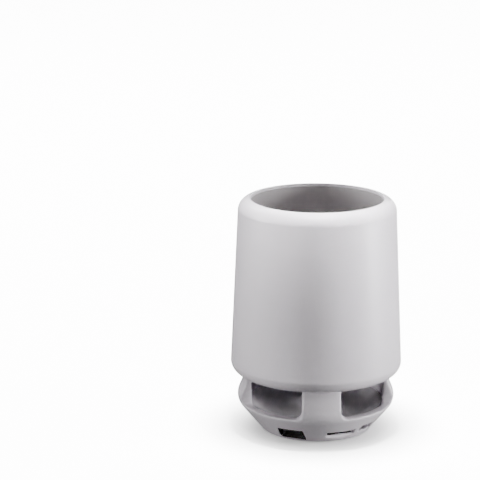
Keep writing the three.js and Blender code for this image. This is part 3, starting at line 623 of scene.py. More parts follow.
def copied(piece: Piece, name: str) -> Piece:
    """Returns a copy of a piece with a mesh of its own.

    Args:
        piece: the piece.
        name: name of the copy.

    Returns:
        The copy.
    """
    alone(piece)
    bpy.ops.object.duplicate(linked=False)
    return named(bpy.context.active_object, name)


def cut(piece: Piece, cutters: Sequence[Piece]) -> Piece:
    """Cuts pieces out of a piece and removes them.

    Args:
        piece: the piece.
        cutters: what is cut out of it.

    Returns:
        The same piece.
    """
    for cutter in cutters:
        trim = piece.modifiers.new("cut", "BOOLEAN")
        trim.operation = "DIFFERENCE"
        trim.solver = "EXACT"
        trim.object = cutter
        alone(piece)
        bpy.ops.object.modifier_apply(modifier=trim.name)
        bpy.data.objects.remove(cutter)
    return piece


def joined(pieces: Sequence[Piece]) -> Piece:
    """Joins pieces into the first of them.

    Args:
        pieces: the pieces.

    Returns:
        The first piece, which then holds them all.
    """
    alone(pieces[0])
    for piece in pieces:
        piece.select_set(True)
    bpy.ops.object.join()
    return pieces[0]


def dressed(piece: Piece, finish: Finish, body: str, nodes: Sequence[str]) -> Piece:
    """Smooths a finished piece, gives it its finish and ties it to the frame.

    Args:
        piece: the piece.
        finish: its finish.
        body: the body that it moves with.
        nodes: the CAD nodes that it stands for.

    Returns:
        The same piece.
    """
    piece.data.materials.clear()
    piece.data.materials.append(finish.material())
    alone(piece)
    bpy.ops.object.shade_smooth_by_angle(angle=math.radians(SHARP_ANGLE))
    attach(piece, body)
    if nodes:
        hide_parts(*nodes)
    LOG.info("%s: %d faces", piece.name, len(piece.data.polygons))
    return piece


# Sub-assemblies


@dataclass
class Cup:
    """The tapered cup with its rounded lip, and the well that stands in it. Sizes are in millimetres."""

    wide_radius: float = 42.5
    top_radius: float = 39.1
    underside: float = 29.5
    top: float = 117.4
    under_round: float = 5.5
    under_steps: int = 14
    flank_shares: tuple[float, ...] = (0.25, 0.5, 0.75)
    lip_round: float = 6.4
    lip_steps: int = 20
    lip_end: float = 88.0
    lip_depth: float = 1.4
    lip_taper: float = 2.0
    lip_edge: float = 0.35
    lip_edge_start: float = 100.0
    edge_steps: int = 4
    wall: float = 2.4
    seat_gap: float = 0.6
    wall_rise: float = 1.0
    foot_rise: float = 2.2
    floor: float = 2.2
    sound_hole: float = 25.0
    edge: float = 0.4
    floor_edge_steps: int = 3
    nick: float = 0.15
    floor_radius: float = 37.2
    mouth_radius: float = 37.5
    well_wall: float = 1.5
    well_foot: float = 34.1
    well_floor_low: float = 54.4
    well_floor_high: float = 56.4
    well_corner: float = 5.0
    well_steps: int = 10
    well_middle: float = 0.4
    well_row: float = 12.0
    well_rows: int = 4
    well_nick: float = 0.3
    well_under: float = 1.0
    well_top: float = 115.9
    pilot_radius: float = 1.5
    pilot_circle: float = 30.0
    pilot_angles: tuple[float, ...] = (45.0, 135.0, 225.0, 315.0)
    around: int = 192
    hole_around: int = 24

    @property
    def lip_radius(self) -> float:
        """Radius of the lip's inner edge."""
        return self.top_radius - self.lip_round

    def shell(self) -> Piece:
        """Builds the cup's shell, open at the bottom.

        Returns:
            The shell.
        """
        low = (self.wide_radius - self.under_round, self.underside + self.under_round)
        high = (self.lip_radius, self.top - self.lip_round)
        run, rise = high[0] - low[0], high[1] - low[1]
        lean = math.degrees(math.asin((self.lip_round - self.under_round - run) / math.hypot(run, rise)))
        start = -math.degrees(math.acos((self.mouth_radius - low[0]) / self.under_round))
        foot = low[0] + self.under_round
        reach = high[0] + self.lip_round - foot
        shoulder = self.top - self.lip_depth
        inside = self.wide_radius - self.wall
        floor_high = self.underside + self.floor
        profile = [
            *arc(*low, self.under_round, start, lean, self.under_steps),
            *((foot + reach * share, low[1] + rise * share) for share in self.flank_shares),
            *arc(*high, self.lip_round, lean, self.lip_end, self.lip_steps),
            *arc(self.lip_radius + self.lip_edge, self.top - self.lip_edge, self.lip_edge,
                 self.lip_edge_start, 180, self.edge_steps),
            (self.lip_radius, shoulder),
            (self.lip_radius + self.well_wall + self.seat_gap, shoulder),
            (self.top_radius - self.wall, shoulder - self.lip_taper),
            (inside, low[1] + self.wall_rise),
            (inside - self.seat_gap, floor_high + self.foot_rise),
            (self.mouth_radius, floor_high + self.seat_gap),
        ]
        return turned("pen_cup", profile, self.around)

    def base(self, tongues: Sequence[Piece]) -> Piece:
        """Builds the cup's floor, with the baffle's pilot holes and the lead's hole.

        Args:
            tongues: cutters for the slots that the bowl's tongues go through.

        Returns:
            The floor.
        """
        low, high = self.underside, self.underside + self.floor
        profile = [
            (self.sound_hole, low + self.edge),
            *arc(self.sound_hole + self.edge, low + self.edge, self.edge, 180, 270,
                 self.floor_edge_steps)[1:],
            (self.floor_radius - self.nick, low),
            (self.floor_radius, low + self.nick),
            (self.floor_radius, high),
            (self.sound_hole, high),
        ]
        places = [(LEAD_BORE, LEAD_CIRCLE, LEAD_ANGLE)]
        places += [(self.pilot_radius, self.pilot_circle, angle) for angle in self.pilot_angles]
        holes = [on_circle(peg(radius, low - OVERCUT, high + OVERCUT, self.hole_around), circle, angle)
                 for radius, circle, angle in places]
        return cut(turned("cup_base", profile, self.around), [*tongues, *holes])

    def well(self) -> Piece:
        """Builds the well inside the cup, in a grey that paints the shade in the cup.

        Returns:
            The well.
        """
        inside = self.lip_radius
        outside = inside + self.well_wall
        corner, nick, floor = self.well_corner, self.well_nick, self.well_floor_high
        profile = [
            (0, floor),
            (inside * self.well_middle, floor),
            *arc(inside - corner, floor + corner, corner, -90, 0, self.well_steps),
            *((inside, floor + self.well_row * i) for i in range(1, self.well_rows + 1)),
            (inside, self.well_top),
            (outside, self.well_top),
            (outside, self.well_foot + nick),
            (outside - nick, self.well_foot),
            (inside + nick, self.well_foot),
            (inside, self.well_foot + nick),
            (inside, self.well_floor_low - self.well_under),
            (inside - self.well_under, self.well_floor_low),
            (0, self.well_floor_low),
        ]
        return turned("pen_well", profile, self.around, Ends.CAPPED)

    def build(self, tongues: Sequence[Piece]) -> None:
        """Builds and dresses the cup, its floor with slots for the bowl's tongues, and the well.

        Args:
            tongues: cutters for the slots.
        """
        dressed(self.shell(), WHITE, "stand", ["cup_shell"])
        dressed(self.base(tongues), WHITE, "stand", ["cup_floor"])
        # The well's grey finish is painted shade.
        dressed(self.well(), WELL_PAINTED_SHADE, "stand", ["pen_cup_liner"])


class Line(NamedTuple):
    """An upright line of the bowl's wall.

    It has its pillar's angle, its place beside the pillar's middle, its share of the way across the window,
    which is None where its place alone counts, and the height of the wall's top there.
    """

    turn: float
    place: float
    share: float | None
    top: float


@dataclass
class Bowl:
    """The bowl under the cup, with its two windows and its ports, and the dish in it.

    Sizes are in millimetres. In foot_edge, ledge_root, dish_shoulder and tube_foot, a pair is a step sideways
    and a height.
    """

    underside: float = 0.5
    neck_radius: float = 36.5
    neck_height: float = 26.5
    bulge_radius: float = 39.1
    bulge_height: float = 17.4
    bulge_round: float = 7.0
    flank_angle: float = 40.0
    wall: float = 2.6
    wall_shares: tuple[float, ...] = (0.0, 0.04, 0.12, 0.22, 0.34, 0.46, 0.58, 0.68, 0.76, 0.82, 0.88,
                                      0.93, 1.0)
    foot_edge: tuple[Pair, ...] = ((1.2, 0.0), (0.45, 0.1))
    foot_rise: float = 0.35
    inner_rise: float = 0.5
    inner_step: float = 0.4
    sill: float = 15.0
    pillar_half: float = 9.4
    pillar_top: float = 29.3
    pillar_rows: int = 12
    corner: float = 3.5
    corner_steps: int = 8
    window_steps: int = 20
    pillar_steps: int = 8
    back_steps: int = 44
    hatch_radius: float = 23.2
    hatch_top: float = 1.9
    edge: float = 0.35
    frame_edge: float = 0.8
    frame_turn: float = 50.0
    frame_steps: int = 4
    frame_margin: float = 1.0
    ledge_top: float = 12.8
    ledge_depth: float = 1.6
    ledge_width: float = 2.0
    ledge_nick: float = 0.3
    ledge_lift: float = 0.1
    ledge_root: Pair = (0.6, 1.0)
    ledge_sink: float = 0.8
    ledge_around: int = 144
    tongue_inside: float = 34.2
    tongue_sheet: float = 1.6
    tongue_span: float = 10.0
    tongue_root: float = 1.0
    tongue_top: float = 33.4
    tongue_nick: float = 0.3
    hook_low: float = 31.9
    hook_reach: float = 0.9
    hook_slope: float = 0.4
    slot_low: float = 28.5
    slot_high: float = 32.7
    slot_steps: int = 2
    dish_points: tuple[Pair, ...] = ((30.6, 13.6), (26.6, 11.5), (21.0, 11.0), (15.12, 11.5), (9.66, 13.2),
                                     (4.62, 15.8), (0.0, 17.2))
    dish_sheet: float = 1.7
    dish_rim_low: float = 13.0
    dish_rim_drop: float = 1.0
    dish_rim_high: float = 14.5
    dish_nick: float = 0.25
    dish_shoulder: Pair = (1.0, 14.28)
    dish_foot: float = 7.0
    dish_steps: int = 6
    dish_around: int = 160
    lead_tube: float = 2.0
    lead_cut: Pair = (5.0, 20.0)
    lead_around: int = 32
    tube_foot: tuple[Pair, ...] = ((0.9, 10.6), (0.5, 11.6), (0.1, 12.2), (0.0, 13.0))
    boss_low: float = 4.8
    boss_high: float = 10.4
    small_nick: float = 0.2

    def radius(self, height: float) -> float:
        """Returns the bowl's outside radius at a height.

        Args:
            height: the height.

        Returns:
            The radius.
        """
        flank = math.radians(self.flank_angle)
        flank_height = self.bulge_height - self.bulge_round * math.sin(flank)
        if height <= flank_height:
            top = self.bulge_radius - self.bulge_round * (1 - math.cos(flank))
            return top - (flank_height - height) * math.tan(flank)
        if height <= self.bulge_height:
            drop = self.bulge_height - height
            return self.bulge_radius - self.bulge_round + math.sqrt(self.bulge_round ** 2 - drop ** 2)
        share = max(0.0, (self.neck_height - height) / (self.neck_height - self.bulge_height))
        return self.neck_radius + (self.bulge_radius - self.neck_radius) * share * share * (3 - 2 * share)

    def inside(self, height: float) -> float:
        """Returns the wall's inside radius at a height."""
        return min(self.radius(height), self.neck_radius) - self.wall

    def surface(self, offset: float) -> Callable[[float, float], float]:
        """Returns what gives the skin's distance from the axis, with an offset, for a place and a height."""
        return lambda x, z: math.sqrt(max((self.radius(z) + offset) ** 2 - x * x, 0.0))

    def window(self, turn: float) -> list[Line]:
        """Returns the upright lines across the window that follows the pillar at an angle.

        Args:
            turn: angle of the pillar that it follows.

        Returns:
            The lines in their order.
        """
        reach = self.pillar_half + self.corner
        corner = arc(reach, self.sill + self.corner, self.corner, 180, 270, self.corner_steps)[1:]
        return [
            *(Line(turn, x, None, z) for x, z in corner),
            *(Line(turn, reach, i / self.window_steps, self.sill) for i in range(1, self.window_steps)),
            *(Line(turn + 90.0, -x, None, z) for x, z in reversed(corner)),
        ]

    def lines(self) -> list[Line]:
        """Returns all the upright lines, from the front pillar's left edge round to the left again.

        Returns:
            The lines in their order.
        """
        high = self.sill + self.corner
        half = self.pillar_steps // 2
        steps = [self.pillar_half * i / half for i in range(1, half + 1)]
        across = [self.pillar_half * (2 * i / self.pillar_steps - 1) for i in range(self.pillar_steps + 1)]
        back = [90.0 + 180.0 * i / self.back_steps for i in range(self.back_steps + 1)]
        return [
            *(Line(0.0, place, None, high) for place in across),
            *self.window(0.0),
            *(Line(90.0, -place, None, high) for place in reversed(steps)),
            *(Line(turn, 0.0, None, high) for turn in back),
            *(Line(270.0, place, None, high) for place in steps),
            *self.window(270.0),
        ]

    def point(self, line: Line, radius: float, height: float) -> Vector:
        """Returns the point of an upright line at a radius and a height.

        Args:
            line: the upright line.
            radius: distance from the axis.
            height: the height.

        Returns:
            The point in millimetres.
        """
        angle = math.asin(min(1.0, line.place / radius))
        if line.share is not None:
            angle += (math.pi / 2 - 2 * angle) * line.share
        angle += math.radians(line.turn)
        return Vector((radius * math.sin(angle), -radius * math.cos(angle), height))

    def wall_rings(self) -> list[Ring]:
        """Returns the lower wall's rings: up the outside from the hatch, over the top and down inside.

        Returns:
            The rings in their order.
        """
        lines = self.lines()
        foot = self.radius(self.underside)
        hatch = self.hatch_radius + self.edge
        rings = [[self.point(line, radius, height) for line in lines] for radius, height in (
            (self.hatch_radius, self.hatch_top - self.edge),
            (self.hatch_radius, self.underside + self.edge),
            (hatch, self.underside),
            *((foot - step, self.underside + rise) for step, rise in self.foot_edge),
        )]
        outer_low, inner_low = self.underside + self.foot_rise, self.hatch_top + self.inner_rise
        sides = [(self.radius, outer_low, share) for share in self.wall_shares]
        sides += [(self.inside, inner_low, share) for share in reversed(self.wall_shares)]
        for side, low, share in sides:
            heights = [low + (line.top - low) * share for line in lines]
            rings.append([self.point(line, side(height), height) for line, height in zip(lines, heights)])
        for radius in (self.inside(self.hatch_top) - self.inner_step, hatch):
            rings.append([self.point(line, radius, self.hatch_top) for line in lines])
        return rings

    def shell(self, ports: Sequence[Piece]) -> Piece:
        """Builds the bowl with its windows, pillars, ledge, tongues and ports.

        Args:
            ports: cutters for the holes in the flank.

        Returns:
            The bowl.
        """
        bowl = skin("sound_bowl", self.wall_rings(), Ends.JOINED)
        self.raise_pillars(bowl)
        self.round_frames(bowl)
        cut(bowl, ports)
        return joined([bowl, self.ledge(), *self.tongues()])

    def raise_pillars(self, bowl: Piece) -> None:
        """Extrudes the wall's top faces at the pillars up to the cup, row by row.

        Args:
            bowl: the bowl's lower wall.
        """
        start = self.sill + self.corner
        slack = 0.01
        mesh = edited(bowl, "FACE")
        for face in mesh.faces:
            face.select = all(abs(vertex.co.z - start * MM) < LEVEL for vertex in face.verts)
        mesh.select_flush_mode()
        bmesh.update_edit_mesh(bowl.data)
        rows = [start + (self.pillar_top - start) * row / self.pillar_rows
                for row in range(self.pillar_rows + 1)]
        for before, height in zip(rows, rows[1:]):
            bpy.ops.mesh.extrude_region()
            mesh = bmesh.from_edit_mesh(bowl.data)
            for vertex in (v for v in mesh.verts if v.select):
                across = vertex.co.to_2d() / MM
                flat = across.length
                bearing = math.atan2(across.x, -across.y)
                turn = round(bearing / (math.pi / 2)) * 90.0
                outer = flat > (self.radius(before) + self.inside(before)) / 2
                radius = self.radius(height) if outer else self.inside(height)
                place = flat * math.sin(bearing - math.radians(turn))
                if abs(place) > self.pillar_half + slack:
                    place *= radius / flat
                vertex.co = self.point(Line(turn, place, None, height), radius, height) * MM
            bmesh.update_edit_mesh(bowl.data)
        leave_edit()

    def round_frames(self, bowl: Piece) -> None:
        """Rounds the edges round the windows and at the tops of the wall.

        Args:
            bowl: the bowl with its pillars.
        """
        edited(bowl, "EDGE")
        bpy.ops.mesh.edges_select_sharp(sharpness=math.radians(self.frame_turn))
        mesh = bmesh.from_edit_mesh(bowl.data)
        for edge in mesh.edges:
            if min(vertex.co.z for vertex in edge.verts) < (self.sill - self.frame_margin) * MM:
                edge.select = False
        mesh.select_flush_mode()
        bmesh.update_edit_mesh(bowl.data)
        bpy.ops.mesh.bevel(offset=self.frame_edge * MM, offset_type="OFFSET", segments=self.frame_steps,
                           affect="EDGES", clamp_overlap=False)
        leave_edit()

    def ledge(self) -> Piece:
        """Builds the ledge inside the wall that the dish rests on.

        Returns:
            The ledge.
        """
        low = self.ledge_top - self.ledge_depth
        wall = self.neck_radius - self.wall
        inner, sunken = wall - self.ledge_width, wall + self.ledge_sink
        root, drop = self.ledge_root
        profile = [
            (inner, low + self.ledge_lift + self.ledge_nick),
            (inner + self.ledge_nick, low + self.ledge_lift),
            (self.inside(low - drop) + root, low - drop),
            (sunken, low),
            (sunken, self.ledge_top),
            (inner, self.ledge_top),
        ]
        return turned("ledge", profile, self.ledge_around)

    def tongues(self) -> list[Piece]:
        """Builds the hooked tongues on the pillars.

        Returns:
            The four tongues.
        """
        inner, outer = self.tongue_inside, self.tongue_inside + self.tongue_sheet
        low, top, nick = self.pillar_top - self.tongue_root, self.tongue_top, self.tongue_nick
        hook = inner - self.hook_reach
        profile = [
            (inner, low),
            (outer, low),
            (outer, top - nick),
            (outer - nick, top),
            (inner, top),
            (hook, top - nick - self.hook_slope),
            (hook, self.hook_low),
            (inner, self.hook_low),
        ]
        half = self.tongue_span / 2
        rings = [[Vector((x, -r, z)) for r, z in profile] for x in (-half, half)]
        return [settled(skin("tongue", rings, Ends.CAPPED), 90.0 * quarter) for quarter in range(4)]

    def tongue_cutters(self) -> list[Piece]:
        """Returns cutters for the slots in the cup's floor that the tongues go through.

        Returns:
            The four cutters.
        """
        outline = rounded(self.tongue_span + 2 * GAP, self.slot_low, self.slot_high, self.tongue_nick,
                          self.slot_steps)
        span = (self.tongue_inside - GAP, self.tongue_inside + self.tongue_sheet + GAP)
        return [settled(outwards("slot", outline, span), 90.0 * i) for i in range(4)]

    def dish(self) -> Piece:
        """Builds the dish with its peak, the lead's tube and its three bosses.

        Returns:
            The dish.
        """
        rim = self.neck_radius - self.wall - GAP
        inner_rim = rim - self.ledge_width
        sheet, nick = self.dish_sheet, self.dish_nick
        step, shoulder = self.dish_shoulder
        peak, slope, trough, low = (self.dish_points[i] for i in (-1, -2, 3, 2))
        profile = [
            *((r, z - sheet) for r, z in (peak, slope, trough)),
            (rim - self.dish_foot, low[1] - sheet),
            (inner_rim, self.dish_rim_low - self.dish_rim_drop),
            (inner_rim, self.dish_rim_low),
            (rim, self.dish_rim_low),
            (rim, self.dish_rim_high - nick),
            (rim - nick, self.dish_rim_high),
            (rim - step, shoulder),
            *flowing(self.dish_points, self.dish_steps),
        ]
        dish = turned("sound_dish", profile, self.dish_around, Ends.CAPPED)
        cut(dish, [on_circle(peg(LEAD_BORE, *self.lead_cut), LEAD_CIRCLE, LEAD_ANGLE)])
        nick = self.small_nick
        tube = [
            (LEAD_BORE, self.tube_foot[0][1]),
            *((self.lead_tube + flare, height) for flare, height in self.tube_foot),
            (self.lead_tube, self.pillar_top - nick),
            (self.lead_tube - nick, self.pillar_top),
            (LEAD_BORE, self.pillar_top),
        ]
        boss = [
            (BOSS_BORE, self.boss_low),
            (BOSS_RADIUS - nick, self.boss_low),
            (BOSS_RADIUS, self.boss_low + nick),
            (BOSS_RADIUS, self.boss_high),
            (BOSS_BORE, self.boss_high),
        ]
        extras = [on_circle(turned("tube", tube, self.lead_around), LEAD_CIRCLE, LEAD_ANGLE)]
        extras += [on_circle(turned("boss", boss, BOSS_AROUND), SCREW_CIRCLE, angle)
                   for angle in SCREW_ANGLES]
        return joined([dish, *extras])

    def build(self, ports: Sequence[Piece]) -> None:
        """Builds and dresses the bowl, with its ports cut, and the dish."""
        dressed(self.shell(ports), WHITE, "stand", ["base_bowl"])
        # The dish's grey finish is painted shade.
        dressed(self.dish(), DISH_PAINTED_SHADE, "stand", ["reflector_dish"])


@dataclass
class Sockets:
    """The large socket, with its contacts and its collar, and the holes that the sockets have in the flank.

    Sizes are in millimetres.
    """

    bowl: Bowl
    corner_steps: int = 3
    usb_angle: float = -27.5
    usb_height: float = 4.75
    usb_width: float = 13.1
    usb_tall: float = 5.7
    usb_corner: float = 0.7
    usb_hole_corner: float = 0.35
    usb_length: float = 14.0
    usb_mouth: float = 26.8
    usb_lip: float = 0.12
    usb_sheet: float = 0.35
    block_gap: float = 0.3
    block_back: float = 0.2
    block_corner: float = 0.3
    block_steps: int = 2
    block_edge: float = 0.15
    block_scale: float = 0.97
    tongue_drop: float = 0.7
    tongue_width: float = 11.1
    tongue_thickness: float = 1.8
    tongue_length: float = 8.8
    tongue_inset: float = 0.6
    tongue_corner: float = 0.25
    tongue_root: float = 1.0
    nose_drops: tuple[float, ...] = (0.5, 0.12, 0.0)
    nose_scales: tuple[float, ...] = (1.0, 0.97, 0.9)
    contact_places: tuple[float, ...] = (-3.5, -1.0, 1.0, 3.5)
    contact_insets: tuple[float, ...] = (1.0, 2.0, 2.0, 1.0)
    contact_width: float = 1.0
    contact_back: float = 8.6
    contact_span: Pair = (-0.12, 0.1)
    contact_corner: float = 0.05
    contact_steps: int = 1
    contact_nose: float = 0.3
    contact_scale: float = 0.8
    collar_low: float = 27.0
    collar_sheet: float = 0.45
    collar_inset: float = 0.15
    collar_edge: float = 0.12
    collar_taper: float = 0.99
    collar_corners: Pair = (0.3, 0.25)
    card_angle: float = 19.5
    slit_width: float = 13.4
    slit_tall: float = 2.1
    slit_height: float = 5.45
    slit_corner: float = 0.3
    scoop_width: float = 15.4
    scoop_low: float = 1.5
    scoop_top: float = 6.9
    scoop_corner: float = 0.6
    scoop_face: float = 29.0
    pocket_width: float = 9.2
    pocket_low: float = 2.6
    pocket_top: float = 8.2
    pocket_corner: float = 0.8
    pocket_face: float = 29.8
    charge_angle: float = 46.55
    charge_width: float = 7.5
    charge_tall: float = 2.6
    charge_height: float = 6.0
    charge_steps: int = 6

    @property
    def usb_back(self) -> float:
        """Distance of the large socket's back from the axis."""
        return self.usb_mouth - self.usb_length

    @property
    def tongue_top(self) -> float:
        """Height of the top of the large socket's tongue."""
        return self.usb_height + self.usb_tall / 2 - self.usb_sheet - self.tongue_drop

    def cutters(self) -> list[Piece]:
        """Returns the cutters for the sockets' holes.

        Returns:
            The cutters.
        """
        slack, steps = 2 * GAP, self.corner_steps
        usb = centred(self.usb_width + slack, self.usb_tall + slack, self.usb_height,
                      self.usb_hole_corner, steps)
        slit = centred(self.slit_width, self.slit_tall, self.slit_height, self.slit_corner, steps)
        scoop = rounded(self.scoop_width, self.scoop_low, self.scoop_top, self.scoop_corner, steps)
        pocket = rounded(self.pocket_width, self.pocket_low, self.pocket_top, self.pocket_corner)
        charge = stadium(self.charge_width + slack, self.charge_tall + slack, self.charge_height,
                         self.charge_steps)
        return [
            flank_cutter(usb, self.usb_angle),
            flank_cutter(slit, self.card_angle),
            flank_cutter(scoop, self.card_angle, self.scoop_face),
            flank_cutter(pocket, self.charge_angle, self.pocket_face),
            flank_cutter(charge, self.charge_angle),
        ]

    def within(self, margin: float, corner: float, steps: int = 4) -> list[Pair]:
        """Returns the large socket's outline, drawn in by a margin, with corners of a radius."""
        width, tall = self.usb_width - 2 * margin, self.usb_tall - 2 * margin
        return centred(width, tall, self.usb_height, corner, steps)

    def usb_shell(self) -> Piece:
        """Builds the socket's sheet shell, open at its mouth.

        Returns:
            The shell.
        """
        sheet, mouth = self.usb_sheet, self.usb_mouth
        outer, inner = self.within(0.0, self.usb_corner), self.within(sheet, self.usb_corner - sheet)
        stops = [(outer, self.usb_back), (outer, mouth - self.usb_lip), (outer, mouth),
                 (inner, mouth), (inner, mouth - self.usb_lip), (inner, self.usb_back + sheet)]
        rings = [upright(outline, distance) for outline, distance in stops]
        return settled(skin("usb_sheet_shell", rings, Ends.CAPPED), self.usb_angle)

    def usb_collar(self) -> Piece:
        """Builds the collar from the socket's mouth out to the flank, in black that also paints the shade
        inside the hole.

        Returns:
            The collar.
        """
        margins = (0.0, self.collar_sheet)
        outer, inner = (self.within(*pair) for pair in zip(margins, self.collar_corners))
        face = self.bowl.surface(-self.collar_inset)
        rings = [
            upright(outer, self.collar_low),
            upright(outer, self.bowl.surface(-self.collar_inset - self.collar_edge)),
            [Vector((x * self.collar_taper, -face(x, z), z)) for x, z in outer],
            upright(inner, face),
            upright(inner, self.collar_low),
        ]
        return settled(skin("socket_collar", rings, Ends.JOINED), self.usb_angle)

    def usb_tongue(self) -> Piece:
        """Builds the socket's block and tongue.

        Returns:
            The block and the tongue as one piece.
        """
        back = self.usb_back + self.usb_sheet + self.block_back
        front = self.usb_mouth - self.block_gap - self.tongue_length
        nose = self.usb_mouth - self.tongue_inset
        block = self.within(self.usb_sheet + self.block_gap, self.block_corner, self.block_steps)
        blade = rounded(self.tongue_width, self.tongue_top - self.tongue_thickness, self.tongue_top,
                        self.tongue_corner, self.corner_steps)
        tips = [nose - drop for drop in self.nose_drops]
        pieces = [
            outwards("usb_block", block, (back, front - self.block_edge, front),
                     (1.0, 1.0, self.block_scale)),
            outwards("usb_blade", blade, (front - self.tongue_root, *tips), (1.0, *self.nose_scales)),
        ]
        return settled(joined(pieces), self.usb_angle)

    def usb_contacts(self) -> Piece:
        """Builds the four gold contacts under the tongue.

        Returns:
            The contacts as one piece.
        """
        under = self.tongue_top - self.tongue_thickness
        low, high = (under + offset for offset in self.contact_span)
        outline = rounded(self.contact_width, low, high, self.contact_corner, self.contact_steps)
        strips = []
        for place, inset in zip(self.contact_places, self.contact_insets):
            tip = self.usb_mouth - inset
            stops = (self.usb_mouth - self.contact_back, tip - self.contact_nose, tip)
            strip = outwards("contact", outline, stops, (1.0, 1.0, self.contact_scale))
            strips.append(settled(strip, 0.0, (place, 0, 0)))
        return settled(named(joined(strips), "usb_contacts"), self.usb_angle)

    def build(self) -> None:
        """Builds and dresses the large socket's pieces."""
        dressed(self.usb_shell(), TIN, "stand", ["usb_a_shell"])
        dressed(self.usb_tongue(), BLACK, "stand", ["usb_a_tongue"])
        dressed(self.usb_contacts(), GOLD, "stand", [])
        # The collar's black also paints the shade inside the hole.
        dressed(self.usb_collar(), BLACK, "stand", ["usb_collar"])


@dataclass
class Controls:
    """The three push buttons, the slide switch's knob and the status light at the back.

    Sizes are in millimetres.
    """

    bowl: Bowl
    height: float = 6.6
    button_names: tuple[str, ...] = ("volume_down", "play", "volume_up")
    button_angles: tuple[float, ...] = (152.0, 180.0, 208.0)
    button_width: float = 6.4
    button_tall: float = 3.2
    button_proud: float = 0.7
    button_drops: tuple[float, ...] = (0.45, 0.2, 0.06, 0.0)
    button_scales: tuple[float, ...] = (1.0, 0.985, 0.95, 0.86)
    button_steps: int = 10
    cap_root: float = 0.2
    flange_margin: float = 0.7
    flange_back: float = 26.3
    flange_face: float = 27.1
    flange_nick: float = 0.15
    flange_scale: float = 0.96
    stem_width: float = 3.0
    stem_tall: float = 2.0
    stem_end: float = 24.1
    stem_nick: float = 0.2
    stem_scale: float = 0.85
    stem_steps: int = 5
    knob_angle: float = -127.0
    knob_travel: float = 2.2
    knob_width: float = 2.2
    knob_tall: float = 1.8
    knob_root: float = 22.7
    knob_corner: float = 0.2
    knob_steps: int = 2
    knob_sink: float = 0.3
    track_corner: float = 0.3
    track_steps: int = 3
    pad_width: float = 3.6
    pad_tall: float = 3.2
    pad_proud: float = 1.3
    pad_corner: float = 0.5
    pad_edge: float = 0.25
    pad_scale: float = 0.9
    ribs: int = 4
    rib_pitch: float = 0.8
    rib_width: float = 0.4
    rib_tall: float = 2.4
    rib_corner: float = 0.15
    rib_drops: tuple[float, ...] = (0.2, -0.18, -0.28)
    rib_scale: float = 0.7
    pipe_angle: float = 133.0
    pipe_radius: float = 1.1
    pipe_root: float = 22.6
    pipe_edge: float = 0.1
    pipe_scale: float = 0.92
    pipe_steps: int = 6
    eye_steps: int = 5

    def cutters(self) -> list[Piece]:
        """Returns the cutters for the controls' holes.

        Returns:
            The cutters.
        """
        slack = 2 * GAP
        hole = stadium(self.button_width + slack, self.button_tall + slack, self.height, self.button_steps)
        track_width = self.knob_width + self.knob_travel + slack
        track = centred(track_width, self.knob_tall + slack, self.height, self.track_corner, self.track_steps)
        eye_width = 2 * self.pipe_radius + slack
        eye = stadium(eye_width, eye_width, self.height, self.eye_steps)
        places = [(hole, angle) for angle in self.button_angles]
        places += [(track, self.knob_angle), (eye, self.pipe_angle)]
        return [flank_cutter(outline, angle) for outline, angle in places]

    def button(self, name: str, angle: float) -> Piece:
        """Builds one button, with its stem and the flange that keeps it in.

        Args:
            name: name of the piece.
            angle: where it is round the axis, in degrees.

        Returns:
            The button.
        """
        back, front, nick = self.flange_back, self.flange_face, self.flange_nick
        scale, steps = self.flange_scale, self.button_steps
        face = self.bowl.surface(self.button_proud)
        cap = stadium(self.button_width, self.button_tall, self.height, steps)
        wide = stadium(self.button_width + 2 * self.flange_margin, self.button_tall + 2 * self.flange_margin,
                       self.height, steps)
        stem = stadium(self.stem_width, self.stem_tall, self.height, self.stem_steps)
        parts = [
            outwards("cap", cap, (front - self.cap_root, *(sunk(face, drop) for drop in self.button_drops)),
                     (1.0, *self.button_scales)),
            outwards("flange", wide, (back, back + nick, front - nick, front), (scale, 1.0, 1.0, scale)),
            outwards("stem", stem, (self.stem_end, self.stem_end + self.stem_nick, back + GAP),
                     (self.stem_scale, 1.0, 1.0)),
        ]
        return settled(named(joined(parts), name), angle)

    def knob(self) -> Piece:
        """Builds the slide switch's knob, with grip ribs across its pad.

        Returns:
            The knob.
        """
        surface = self.bowl.surface
        stem = centred(self.knob_width, self.knob_tall, self.height, self.knob_corner, self.knob_steps)
        pad = centred(self.pad_width, self.pad_tall, self.height, self.pad_corner)
        rib = centred(self.rib_width, self.rib_tall, self.height, self.rib_corner, self.knob_steps)
        face = surface(self.pad_proud - self.knob_sink)
        parts = [
            outwards("stem", stem, (self.knob_root, surface(GAP + self.knob_sink))),
            outwards("pad", pad, (surface(GAP), sunk(face, self.pad_edge), face), (1.0, 1.0, self.pad_scale)),
        ]
        for i in range(self.ribs):
            ridge = outwards("rib", rib, [sunk(face, drop) for drop in self.rib_drops],
                             (1.0, 1.0, self.rib_scale))
            parts.append(settled(ridge, 0.0, (self.rib_pitch * (i - (self.ribs - 1) / 2), 0.0, 0.0)))
        knob = named(joined(parts), "switch_knob")
        return settled(knob, self.knob_angle, (-self.knob_travel / 2, 0.0, 0.0))

    def pipe(self) -> Piece:
        """Builds the light pipe, with its face flush in the flank.

        Returns:
            The light pipe.
        """
        outline = stadium(2 * self.pipe_radius, 2 * self.pipe_radius, self.height, self.pipe_steps)
        face = self.bowl.surface(0.0)
        pipe = outwards("status_window", outline, (self.pipe_root, sunk(face, self.pipe_edge), face),
                        (1.0, 1.0, self.pipe_scale))
        return settled(pipe, self.pipe_angle)

    def build(self) -> None:
        """Builds and dresses the buttons, the knob and the light pipe."""
        for name, angle in zip(self.button_names, self.button_angles):
            dressed(self.button(f"{name}_key", angle), WHITE, name, [f"{name}_button"])
        dressed(self.knob(), BLACK, "power_slider", ["power_switch_knob"])
        dressed(self.pipe(), CLEAR, "stand", ["lamp_light_pipe"])


